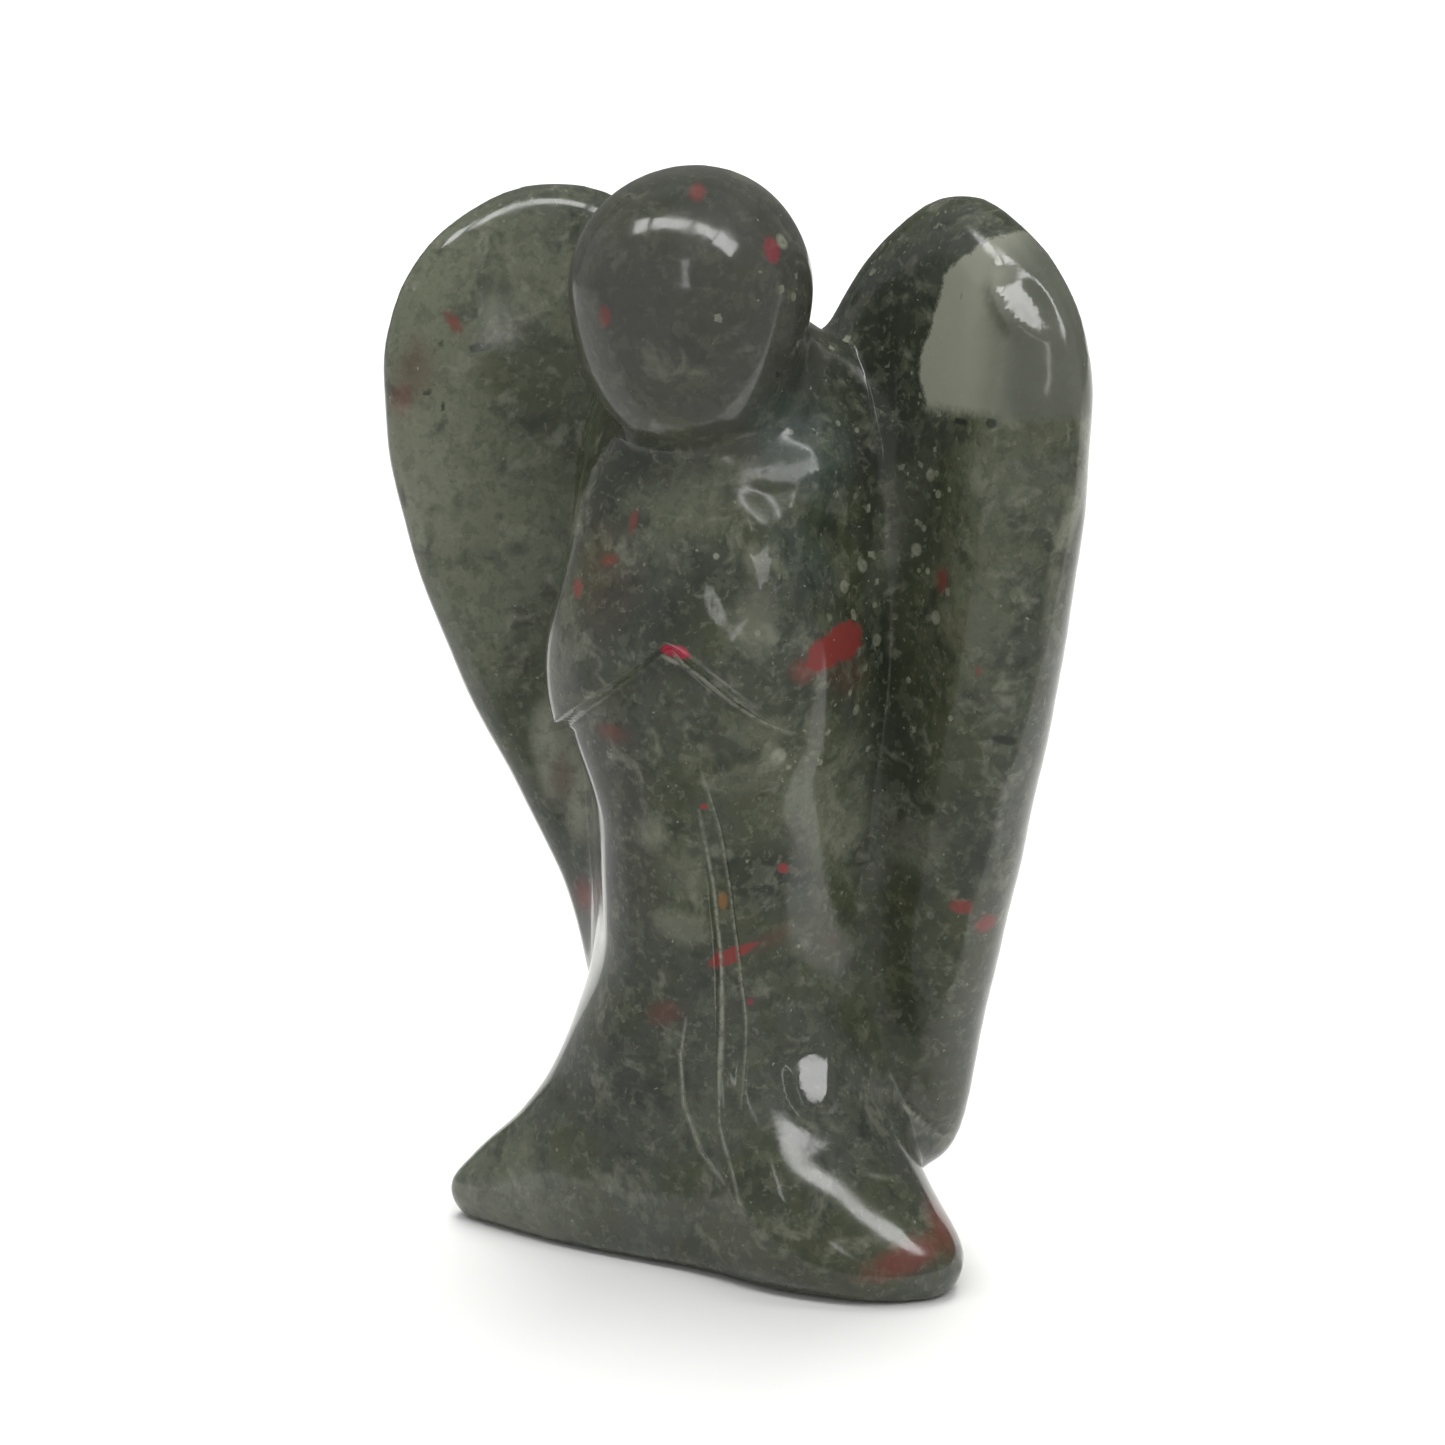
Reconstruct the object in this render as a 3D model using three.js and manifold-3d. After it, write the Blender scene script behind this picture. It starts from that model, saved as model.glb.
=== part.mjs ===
// A small angel carved from one piece of bloodstone: plain egg head, arms folded in prayer, a robe that
// flares to a flat base, and two teardrop wings that rise from the back. All sizes are in millimetres.
// The figure looks along -Y, its height is +Z, and the origin is the middle of the base.
import * as THREE from "three";
import { ParametricGeometry } from "three/addons/geometries/ParametricGeometry.js";
import { mergeVertices } from "three/addons/utils/BufferGeometryUtils.js";
import Module from "manifold-3d";

// Driving dimensions
const HEAD = {
  top: 50, // the carving's full height
  widest: 44.9,
  chin: 37.3,
  halfWidth: 5.4,
  halfDepth: 5.2,
  y: -0.4,
  taper: 0.03, // how much narrower its upper half is than a true oval
};

// The body's upright outline. At each height: half width at the widest line, half width where the flanks
// meet the wings, the place of the front, of the widest line and of the back, and how square the section
// is, where 2 is an ellipse and more is boxier.
const BODY = [
  { z: 0, side: 12.55, flank: 9.8, front: -2.6, widest: -0.2, back: 8.2, square: 2.5 },
  { z: 1.3, side: 13.0, flank: 10.6, front: -3.2, widest: -0.2, back: 8.8, square: 2.5 },
  { z: 3.4, side: 11.5, flank: 10.2, front: -3.2, widest: 0, back: 8.8, square: 2.4 },
  { z: 5.6, side: 9.25, flank: 9.4, front: -3.1, widest: 0.4, back: 8.6, square: 2.3 },
  { z: 7.6, side: 7.85, flank: 8.6, front: -3.0, widest: 0.8, back: 8.4, square: 2.2 },
  { z: 10.4, side: 6.7, flank: 7.7, front: -3.0, widest: 1.4, back: 8.2, square: 2.15 },
  { z: 14.5, side: 5.3, flank: 7.2, front: -3.1, widest: 2.0, back: 8.0, square: 2.1 },
  { z: 20, side: 5.4, flank: 7.2, front: -3.3, widest: 2.2, back: 8.0, square: 2.1 },
  { z: 25, side: 6.7, flank: 7.5, front: -3.5, widest: 2.2, back: 8.0, square: 2.3 },
  { z: 28.5, side: 7.1, flank: 7.7, front: -3.55, widest: 2.2, back: 8.0, square: 2.9 },
  { z: 32, side: 6.4, flank: 7.7, front: -3.4, widest: 2.2, back: 8.0, square: 3.2 },
  { z: 34.8, side: 5.9, flank: 7.5, front: -3.15, widest: 2.3, back: 8.0, square: 3.1 },
  { z: 36.2, side: 5.7, flank: 7.4, front: -2.75, widest: 2.4, back: 8.0, square: 2.9 },
  { z: 37.3, side: 5.5, flank: 7.2, front: -2.1, widest: 2.6, back: 7.9, square: 2.7 },
  { z: 38.4, side: 5.15, flank: 6.9, front: -1.2, widest: 2.9, back: 7.8, square: 2.4 },
  { z: 41.4, side: 4.3, flank: 5.7, front: 0.3, widest: 3.8, back: 7.6, square: 2.1 },
  { z: 43.8, side: 1.8, flank: 2.4, front: 2.6, widest: 4.6, back: 6.8, square: 2.0 },
];
const FLANK_FROM = -0.5; // the flanks widen from here
const FLANK_TO = 5.5; // to here

// The hem's front runs a little askew: this much forward for each millimetre across, up to this height
const HEM_SKEW = 0.08;
const HEM_SKEW_TOP = 12;

// The wings, a little uneven as the carver left them. At each height: outer and inner edge of the left
// wing, inner and outer edge of the right wing, all as distances from the spine, and the thickness.
const WINGS = [
  { z: 2.4, leftOut: 5.4, leftIn: 5.0, rightIn: 7.1, rightOut: 7.8, thick: 0.6 },
  { z: 5, leftOut: 7.1, leftIn: 0.9, rightIn: 3.6, rightOut: 10.65, thick: 3.4 },
  { z: 10, leftOut: 8.5, leftIn: 0.3, rightIn: 1.8, rightOut: 11.6, thick: 4.4 },
  { z: 15, leftOut: 9.65, leftIn: 0.3, rightIn: 1.3, rightOut: 12.65, thick: 5.0 },
  { z: 20, leftOut: 11.9, leftIn: 0.3, rightIn: 1.0, rightOut: 13.85, thick: 5.4 },
  { z: 26, leftOut: 14.45, leftIn: 0.3, rightIn: 0.8, rightOut: 15.25, thick: 5.8 },
  { z: 32, leftOut: 16.25, leftIn: 0.4, rightIn: 0.7, rightOut: 16.35, thick: 6.0 },
  { z: 37, leftOut: 16.95, leftIn: 1.0, rightIn: 1.0, rightOut: 16.95, thick: 6.0 },
  { z: 40, leftOut: 17.0, leftIn: 1.9, rightIn: 1.85, rightOut: 17.0, thick: 5.8 },
  { z: 43, leftOut: 16.55, leftIn: 3.2, rightIn: 3.5, rightOut: 16.5, thick: 5.1 },
  { z: 45.8, leftOut: 15.2, leftIn: 4.6, rightIn: 5.25, rightOut: 14.8, thick: 4.0 },
  { z: 47.6, leftOut: 13.3, leftIn: 6.4, rightIn: 7.1, rightOut: 12.7, thick: 2.6 },
  { z: 48.6, leftOut: 10.2, leftIn: 9.7, rightIn: 9.7, rightOut: 10.2, thick: 0.6 },
];
const LEFT_WING = { outer: "leftOut", inner: "leftIn", taller: 1.003, ridge: 1.5 };
const RIGHT_WING = { outer: "rightOut", inner: "rightIn", taller: 0.997, ridge: 2.6 };
const WING_SPAN = 17;
const WING_BACK = 8.0; // where the middle of the wing's thickness lies behind the spine
const WING_RIM = 3.4; // and at the widest part of the rim
const WING_SWEEP = 3; // how late the wing turns forward
const WING_SQUARENESS = 2.1;
// A soft ridge runs down the front of each wing: its place as a share of the way from the inner to the
// outer edge, and its half width on those two sides. How far it stands out is given with each wing.
const RIDGE = { share: 0.82, inside: 4.0, outside: 3.0 };

// A forearm slants from each elbow up to the joined hands: the lower edge's apex and slope, how far it
// stands out, how soft the edge is on both sides, how far it runs each way and how high it reaches
const SLEEVE = {
  x: 0.3,
  apex: 29.4,
  slope: 0.75,
  lift: 0.75,
  leftEdge: 0.5,
  rightEdge: 1.2,
  toLeft: 7.4,
  toRight: 4.4,
  height: 7,
};
const SAG = { low: 14, lowEnd: 26, highEnd: 30, high: 41 }; // heights over which the grid follows them

// Rounded hills on the front: the foot that pushes the hem forward, and the shin and knee above it
const HILLS = [
  { x: 9.1, z: 1.9, wide: 2.55, high: 2.45, lift: 0.88 },
  { x: 5.4, z: 5.25, wide: 2.9, high: 4.2, lift: 1.6 },
  { x: 6.65, z: 8.65, wide: 0.9, high: 1.0, lift: 0.6 },
];

// Carved folds, from their upper to their lower end, as x and z on the front
const FOLDS = [
  {
    path: [[3.1, 14.8], [3.85, 11.25], [4.55, 10.05], [7.1, 7.4], [9.2, 6.8], [11.1, 3.4]],
    wide: 1.36,
    deep: 1.3,
  },
  { path: [[-2.3, 23.4], [-1.2, 20.5], [-0.95, 16.7], [-1.7, 12.6]], wide: 0.9, deep: 0.3 },
  { path: [[0.6, 12.6], [0.2, 10.3], [0.4, 7.9], [1.4, 6.1], [2.6, 5.1]], wide: 0.6, deep: 0.25 },
  { path: [[1.4, 23.4], [2.05, 20.5], [2.3, 17], [2.45, 13.5], [2.7, 9.5], [3.2, 6.2]], wide: 0.6, deep: 0.3 },
];

// Grid sizes: steps around and steps up, and how much closer the body's steps lie at the front
const BODY_GRID = [64, 50];
const WING_GRID = [26, 28];
const HEAD_GRID = [28, 18];
const FRONT_CLOSER = 0.4;

const STONE = { color: 0x4b5046, roughness: 0.16, metalness: 0 };

// A smooth curve through the stations of an outline, read at one height. Each span is a cubic whose end
// slopes are those of its neighbours, limited so that the curve never overshoots a station.
function outline(stations, key) {
  const n = stations.length;
  const rise = (i) =>
    (stations[i + 1][key] - stations[i][key]) / (stations[i + 1].z - stations[i].z);
  const slope = stations.map((_, i) => {
    if (i === 0) return rise(0);
    if (i === n - 1) return rise(n - 2);
    const below = rise(i - 1);
    const above = rise(i);
    return below * above <= 0 ? 0 : (2 * below * above) / (below + above);
  });
  return (z) => {
    let i = 0;
    while (i < n - 2 && z > stations[i + 1].z) i++;
    const span = stations[i + 1].z - stations[i].z;
    const t = THREE.MathUtils.clamp((z - stations[i].z) / span, 0, 1);
    const t2 = t * t;
    const t3 = t2 * t;
    return (
      (2 * t3 - 3 * t2 + 1) * stations[i][key] +
      (t3 - 2 * t2 + t) * span * slope[i] +
      (3 * t2 - 2 * t3) * stations[i + 1][key] +
      (t3 - t2) * span * slope[i + 1]
    );
  };
}

const signedPower = (value, power) => Math.sign(value) * Math.abs(value) ** power;

// Distance from a point of the front to a fold's path, and how far along the path it is nearest
function nearestOnPath(path, x, z) {
  let best = { distance: Infinity, along: 0 };
  for (let i = 0; i < path.length - 1; i++) {
    const [x0, z0] = path[i];
    const [dx, dz] = [path[i + 1][0] - x0, path[i + 1][1] - z0];
    const t = THREE.MathUtils.clamp(((x - x0) * dx + (z - z0) * dz) / (dx * dx + dz * dz), 0, 1);
    const distance = Math.hypot(x - x0 - t * dx, z - z0 - t * dz);
    if (distance < best.distance) best = { distance, along: (i + t) / (path.length - 1) };
  }
  return best;
}

const bell = (away, wide) => Math.exp(-((away / wide) ** 2));

// How far the front stands out of the plain body: the sleeves and the hills raise it, folds cut it
function relief(x, z) {
  const { smoothstep, lerp } = THREE.MathUtils;
  const above = z - (SLEEVE.apex - SLEEVE.slope * Math.abs(x - SLEEVE.x));
  const soft = lerp(SLEEVE.leftEdge, SLEEVE.rightEdge, smoothstep(x, 0, 1.5));
  const rise = smoothstep(above / soft, -0.2, 1);
  const fall = 1 - smoothstep(above, 1, SLEEVE.height);
  const leftEnd = smoothstep(x, -SLEEVE.toLeft - 0.6, -SLEEVE.toLeft);
  const rightEnd = 1 - smoothstep(x, SLEEVE.toRight - 1.5, SLEEVE.toRight + 1.5);
  let out = SLEEVE.lift * rise * fall * leftEnd * rightEnd;
  for (const hill of HILLS) out += hill.lift * bell(x - hill.x, hill.wide) * bell(z - hill.z, hill.high);
  for (const { path, wide, deep } of FOLDS) {
    const { distance, along } = nearestOnPath(path, x, z);
    out -= deep * Math.sin(Math.PI * (0.1 + 0.8 * along)) * bell(distance, wide);
  }
  return out;
}

// Turns a closed surface of two parameters into a solid. Points that meet are merged, and faces that
// have shrunk to a line, at the poles, are left out.
const wasm = await Module();
wasm.setup();
function solid(surface, [around, up]) {
  const grid = new ParametricGeometry(surface, around, up);
  grid.deleteAttribute("normal");
  grid.deleteAttribute("uv");
  const merged = mergeVertices(grid, 1e-4);
  const corners = merged.index.array;
  const triVerts = [];
  for (let i = 0; i < corners.length; i += 3) {
    const [a, b, c] = corners.slice(i, i + 3);
    if (a !== b && b !== c && c !== a) triVerts.push(a, b, c);
  }
  const vertProperties = merged.attributes.position.array;
  return new wasm.Manifold(
    new wasm.Mesh({ numProp: 3, vertProperties, triVerts: new Uint32Array(triVerts) }),
  );
}

// Head: an egg, narrower towards the chin
function head(u, v, target) {
  const turn = 2 * Math.PI * u;
  const tilt = Math.PI * (v - 0.5);
  const reach = v < 0.5 ? HEAD.widest - HEAD.chin : HEAD.top - HEAD.widest;
  const round = Math.cos(tilt) * (1 - HEAD.taper * Math.sin(2 * Math.max(tilt, 0)));
  target.set(
    HEAD.halfWidth * round * Math.cos(turn),
    HEAD.y + HEAD.halfDepth * round * Math.sin(turn),
    HEAD.widest + reach * Math.sin(tilt),
  );
}

// Body: rounded sections up the outline. The first and last rows close on a point, and the rows between
// sag with the sleeves' lower edge, so that it falls between two of them.
const side = outline(BODY, "side");
const flank = outline(BODY, "flank");
const front = outline(BODY, "front");
const widest = outline(BODY, "widest");
const back = outline(BODY, "back");
const square = outline(BODY, "square");
const bodyTop = BODY[BODY.length - 1].z;
function body(u, v, target) {
  const rows = BODY_GRID[1];
  const row = Math.round(v * rows);
  const level = bodyTop * THREE.MathUtils.clamp((row - 1) / (rows - 2), 0, 1);
  if (row === 0 || row === rows) {
    target.set(0, widest(level), level);
    return;
  }
  const turn = 2 * Math.PI * u - FRONT_CLOSER * Math.cos(2 * Math.PI * u);
  const power = 2 / square(level);
  const across = signedPower(Math.cos(turn), power);
  const deep = signedPower(Math.sin(turn), power);
  const sag =
    THREE.MathUtils.smoothstep(level, SAG.low, SAG.lowEnd) *
    (1 - THREE.MathUtils.smoothstep(level, SAG.highEnd, SAG.high));
  const z = level - sag * SLEEVE.slope * Math.abs(across) * side(level);
  const reach = deep < 0 ? widest(z) - front(z) : back(z) - widest(z);
  const y = widest(z) + deep * reach;
  const widen = THREE.MathUtils.smoothstep(y, FLANK_FROM, FLANK_TO);
  const x = across * THREE.MathUtils.lerp(side(z), flank(z), widen);
  const facing = Math.max(0, -deep);
  const skew = HEM_SKEW * x * Math.max(0, 1 - z / HEM_SKEW_TOP);
  target.set(x, y - (relief(x, z) + skew) * facing, z);
}

// Wing: a pillow between its inner and outer edge, swept forward towards the rim, with a ridge down its
// front. The edges run smoothly in the angle whose cosine gives the height, so both ends are round.
const wingLow = WINGS[0].z;
const wingTall = WINGS[WINGS.length - 1].z - wingLow;
const byAngle = WINGS.map((row) => ({
  ...row,
  z: Math.acos(THREE.MathUtils.clamp(1 - (2 * (row.z - wingLow)) / wingTall, -1, 1)),
}));
const thick = outline(byAngle, "thick");
const wingLine = (x) => WING_BACK - (WING_BACK - WING_RIM) * Math.abs(x / WING_SPAN) ** WING_SWEEP;
function wing(hand, one) {
  const inner = outline(byAngle, one.inner);
  const outer = outline(byAngle, one.outer);
  return (u, v, target) => {
    const turn = 2 * Math.PI * u;
    const angle = Math.PI * v;
    const power = 2 / WING_SQUARENESS;
    const closing = v === 0 || v === 1 ? 0 : 1;
    const across = closing * signedPower(Math.cos(turn), power);
    const through = closing * signedPower(Math.sin(turn), power);
    const wide = outer(angle) - inner(angle);
    const x = inner(angle) + ((1 + across) * wide) / 2;
    const away = x - inner(angle) - RIDGE.share * wide;
    const swell = Math.sin(angle) ** 1.5 * Math.max(0, -through) ** 0.6;
    const ridge = one.ridge * swell * bell(away, away < 0 ? RIDGE.inside : RIDGE.outside);
    const z = wingLow + (one.taller * wingTall * (1 - Math.cos(angle))) / 2;
    target.set(hand * x, wingLine(x) + (through * thick(angle)) / 2 - ridge, z);
  };
}

// A mirrored surface runs the other way round, so its first parameter is turned back
const mirrored = (surface) => (u, v, target) => surface(1 - u, v, target);

const stone = solid(body, BODY_GRID)
  .add(solid(head, HEAD_GRID))
  .add(solid(wing(1, RIGHT_WING), WING_GRID))
  .add(solid(mirrored(wing(-1, LEFT_WING)), WING_GRID));

const cut = stone.getMesh();
const geometry = new THREE.BufferGeometry();
geometry.setAttribute("position", new THREE.BufferAttribute(cut.vertProperties, cut.numProp));
geometry.setIndex(new THREE.BufferAttribute(cut.triVerts, 1));
geometry.computeVertexNormals();
geometry.computeBoundingBox();

const carving = new THREE.Mesh(geometry, new THREE.MeshStandardMaterial(STONE));
carving.name = "angel_carving";
const middle = geometry.boundingBox.getCenter(new THREE.Vector3());
carving.position.set(-middle.x, -middle.y, 0);

const angel = new THREE.Group();
angel.add(carving);
export default angel;
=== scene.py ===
"""A small angel carved from one piece of bloodstone, polished to a high gloss, on a pale stage."""
import math

import bmesh
import bpy
import numpy as np
from mathutils import Matrix, Vector


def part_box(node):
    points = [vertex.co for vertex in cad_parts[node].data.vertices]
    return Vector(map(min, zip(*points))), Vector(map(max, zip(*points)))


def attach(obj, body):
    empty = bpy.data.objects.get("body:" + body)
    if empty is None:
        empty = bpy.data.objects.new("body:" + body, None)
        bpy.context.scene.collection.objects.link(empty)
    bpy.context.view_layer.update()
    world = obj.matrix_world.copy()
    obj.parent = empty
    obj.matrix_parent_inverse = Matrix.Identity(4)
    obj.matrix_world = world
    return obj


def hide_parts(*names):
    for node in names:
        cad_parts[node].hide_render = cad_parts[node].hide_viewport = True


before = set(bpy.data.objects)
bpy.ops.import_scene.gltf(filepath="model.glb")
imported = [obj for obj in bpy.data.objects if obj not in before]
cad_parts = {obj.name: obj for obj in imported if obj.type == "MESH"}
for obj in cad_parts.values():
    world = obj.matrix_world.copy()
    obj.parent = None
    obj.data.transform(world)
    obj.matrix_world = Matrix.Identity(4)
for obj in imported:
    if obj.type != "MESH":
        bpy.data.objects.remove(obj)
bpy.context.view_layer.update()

bl_info = {
    "name": "Carved Bloodstone Angel",
    "version": (1, 0, 0),
    "blender": (4, 5, 0),
    "location": "3D View > Sidebar > Bloodstone Angel",
    "description": "Carves, polishes and lights a small bloodstone angel",
    "category": "Add Mesh",
}

NODE = "angel_carving"
PIECE = "angel_stone"
BODY_NAME = "root"
MM = 0.001
PHOTO_SIZE = 1445  # pixels, wide and high

# The figure in millimetres, in its carver's frame: the head's middle is on x = 0 near y = 0, it looks
# along -y and stands on z = 0. It is brought into the frame's box at the end.
HALF_HEIGHT = 25.0
OWN_MIDDLE = np.array((0.0, 2.5355, 0.0))  # the middle of its box, on the floor

# The body's upright outline. Columns: height, half width at the widest line, half width where the
# flanks meet the wings, front, widest line and back (all three along y), and the section's squareness.
BODY = np.array([
    (0, 12.55, 9.8, -2.6, -0.2, 8.2, 2.5),
    (1.3, 13, 10.6, -3.2, -0.2, 8.8, 2.5),
    (3.4, 11.5, 10.2, -3.2, 0, 8.8, 2.4),
    (5.6, 9.25, 9.4, -3.1, 0.4, 8.6, 2.3),
    (7.6, 7.85, 8.6, -3, 0.8, 8.4, 2.2),
    (10.4, 6.7, 7.7, -3, 1.4, 8.2, 2.15),
    (14.5, 5.3, 7.2, -3.1, 2, 8, 2.1),
    (20, 5.4, 7.2, -3.3, 2.2, 8, 2.1),
    (25, 6.7, 7.5, -3.5, 2.2, 8, 2.3),
    (28.5, 7.1, 7.7, -3.55, 2.2, 8, 2.9),
    (32, 6.4, 7.7, -3.4, 2.2, 8, 3.2),
    (34.8, 5.9, 7.5, -3.15, 2.3, 8, 3.1),
    (36.2, 5.7, 7.4, -2.75, 2.4, 8, 2.9),
    (37.3, 5.5, 7.2, -2.1, 2.6, 7.9, 2.7),
    (38.4, 5.15, 6.9, -1.2, 2.9, 7.8, 2.4),
    (41.4, 4.3, 5.7, 0.3, 3.8, 7.6, 2.1),
    (43.8, 1.8, 2.4, 2.6, 4.6, 6.8, 2),
])
FLANK_FROM, FLANK_TO = -0.5, 5.5  # the flanks widen between these y
HEM_SKEW, HEM_SKEW_TOP = 0.08, 12.0  # the hem's front runs askew, less and less up to this height

# The wings, a little uneven as the carver left them. Columns: height, outer and inner edge of the left
# wing, inner and outer edge of the right wing, all as distances from the spine, and thickness.
WINGS = np.array([
    (2.4, 5.4, 5, 7.1, 7.8, 0.6),
    (5, 7.1, 0.9, 3.6, 10.65, 3.4),
    (10, 8.5, 0.3, 1.8, 11.6, 4.4),
    (15, 9.65, 0.3, 1.3, 12.65, 5),
    (20, 11.9, 0.3, 1, 13.85, 5.4),
    (26, 14.45, 0.3, 0.8, 15.25, 5.8),
    (32, 16.25, 0.4, 0.7, 16.35, 6),
    (37, 16.95, 1, 1, 16.95, 6),
    (40, 17, 1.9, 1.85, 17, 5.8),
    (43, 16.55, 3.2, 3.5, 16.5, 5.1),
    (45.8, 15.2, 4.6, 5.25, 14.8, 4),
    (47.6, 13.3, 6.4, 7.1, 12.7, 2.6),
    (48.6, 10.2, 9.7, 9.7, 10.2, 0.6),
])
WING_TALLER = (1.003, 0.997)  # the left wing reaches a little higher than the right one
WING_SPAN = 17.0
WING_BACK, WING_RIM, WING_SWEEP = 8.0, 3.4, 3.0  # middle of the thickness: at the spine, at the rim
WING_SQUARENESS = 2.1
# A soft ridge runs down the front of each wing: its place as a share of the way from the inner to the
# outer edge, half widths on those two sides, how far it stands out on the left and on the right, and
# the powers with which it fades towards the tips and towards the back
RIDGE = {"share": 0.82, "inside": 4.0, "outside": 3.0, "lift": (1.5, 2.6), "fade": (1.5, 0.6)}

# A forearm slants from each elbow up to the joined hands: its lower edge, how far it stands out, how
# soft that edge is on the left and on the right and the x between which this changes, the x between
# which it starts on the left and ends on the right, the height above its edge, as a share of the
# softness, between which it rises, the height between which it falls, and how far each way the mesh is
# refined for it
SLEEVE = {"x": 0.3, "apex": 29.4, "slope": 0.75, "lift": 0.75, "soft": (0.4, 1.2), "change": (0, 1.5),
          "start": (-8, -7.4), "end": (2.9, 5.9), "rise": (-0.2, 1), "fall": (1, 7), "refined": 6}
# Rounded hills of the robe over the foot, the shin and the knee: middle, half sizes, how far they rise
HILLS = [
    {"x": 9.1, "z": 1.9, "wide": 2.55, "high": 2.45, "lift": 0.88},
    {"x": 5.4, "z": 5.25, "wide": 2.9, "high": 4.2, "lift": 1.6},
    {"x": 6.65, "z": 8.65, "wide": 0.9, "high": 1.0, "lift": 0.6},
]

# Soft furrows of the robe, from their upper end down: x and z of each point, half width and depth
FOLDS = [
    ([(3.1, 14.8), (3.85, 11.25), (4.55, 10.05), (7.1, 7.4), (9.2, 6.8), (11.1, 3.4)], 1.36, 1.3),
    ([(-2.3, 23.4), (-1.2, 20.5), (-0.95, 16.7), (-1.7, 12.6)], 0.9, 0.3),
    ([(0.6, 12.6), (0.2, 10.3), (0.4, 7.9), (1.4, 6.1), (2.6, 5.1)], 0.6, 0.25),
]
# The channel down the front: x and z of the points of its middle, half width and depth
CHANNEL = ([(1.4, 23.4), (2.05, 20.5), (2.3, 17.0), (2.45, 13.5), (2.7, 9.5), (3.2, 6.2)], 0.45, 0.28)
CHANNEL_WALL = (0.6, 1.4)  # in half widths, between which its wall rises
# Sharp incised lines: the same, and their scratched stone looks frosted
INCISIONS = [
    ([(0.4, 29.3), (0.9, 28.7), (1.8, 28.1), (2.9, 27.2), (4, 26.4), (5.3, 25.6)], 0.12, 0.14),
    ([(1.65, 23.9), (2.2, 21.5), (2.55, 18.5), (2.7, 16.5), (2.9, 13.9),
      (3.1, 12.2), (3.2, 8.4)], 0.1, 0.1),
    ([(1.4, 22.1), (1.9, 18.6), (2.05, 16.3), (2.1, 13.2), (2.3, 7.6), (3.6, 4.3)], 0.1, 0.1),
    ([(0.6, 12.3), (0.25, 10.5), (0.4, 8.1), (1.35, 6.1), (2.6, 5)], 0.1, 0.1),
    ([(7.3, 8.8), (8.7, 6.7), (10.3, 4.4)], 0.14, 0.1),
    ([(8.9, 5.4), (10, 4.9), (11.1, 4)], 0.1, 0.08),
]
# A share of their arch that folds and incised lines leave out at each end, and the frost's width
FOLD_ENDS, INCISION_ENDS, FROST_WIDTH = 0.1, 0.03, 0.7
FRONT_FACING = (0, 0.6)  # how far the surface has to face forward to carry these forms
FRONT_LEAST = 0.2  # and the share from which it counts as front
FRONT_Y = 1  # points behind this aren't refined for lines
# Spots that the polishing wheel left flat: x and z of the middle, half sizes, the turn clockwise in
# degrees, how far each faces to the right and upwards in degrees, and x and z of a point on its plane
FLATS = [
    (6.0, 9.5, 0.75, 1.45, -22, 40.5, 33.5, 6.0, 9.6),
    (14.0, 44.1, 1.5, 0.8, 42, 25.9, 32.5, 13.9, 45.2),
    (4.8, 36.8, 1.5, 1.7, 0, 27.0, 27.0, 4.8, 36.8),
    (4.9, 36.9, 1.3, 0.42, -8, 31.0, 33.5, 4.9, 36.9),
    (3.4, 33.2, 1.2, 2.2, 0, 11.0, 8.0, 2.4, 33.2),
    (4.4, 33.1, 0.55, 1.3, 0, 20.6, 17.6, 4.2, 33.1),
]
FLAT_FULL, FLAT_END = 0.7, 1.5  # the flat ends and its blend ends, in units of its half sizes
FLAT_REACH = 4  # a point further than this in front of or behind the flat's point is left alone

# Steps of the merging and polishing. The polishing wheel fills little at the neck's crease and on the
# front of the hem: the share that is kept, the heights between which that starts, and the depths
# between which it ends.
PASSES_BEFORE, PASSES_AFTER = 4, 2
NECK = {"kept": 0.65, "from": 35, "full": 38, "wide": 6, "front": 2, "back": 5}
HEM = {"kept": 0.85, "full": 14, "to": 18, "front": 1, "back": 3}
# Around fine lines and small spots the points are brought closer together, twice: how far that reaches
LINE_REACH, SPOT_REACH = (0.8, 0.28), (0.55, 0.3)
SMALL_MARK, SMALL_GRAIN = 0.6, 0.25  # half sizes below which they need it
# Waves of the hand wobble, in mm, and of the shake that makes the zones' edges uneven
WAVES = {"count": 24, "shortest": 5, "longest": 14, "seed": 7}
SHAKE = {"reach": 0.6, "count": 18, "seeds": (3, 4, 5)}

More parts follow.
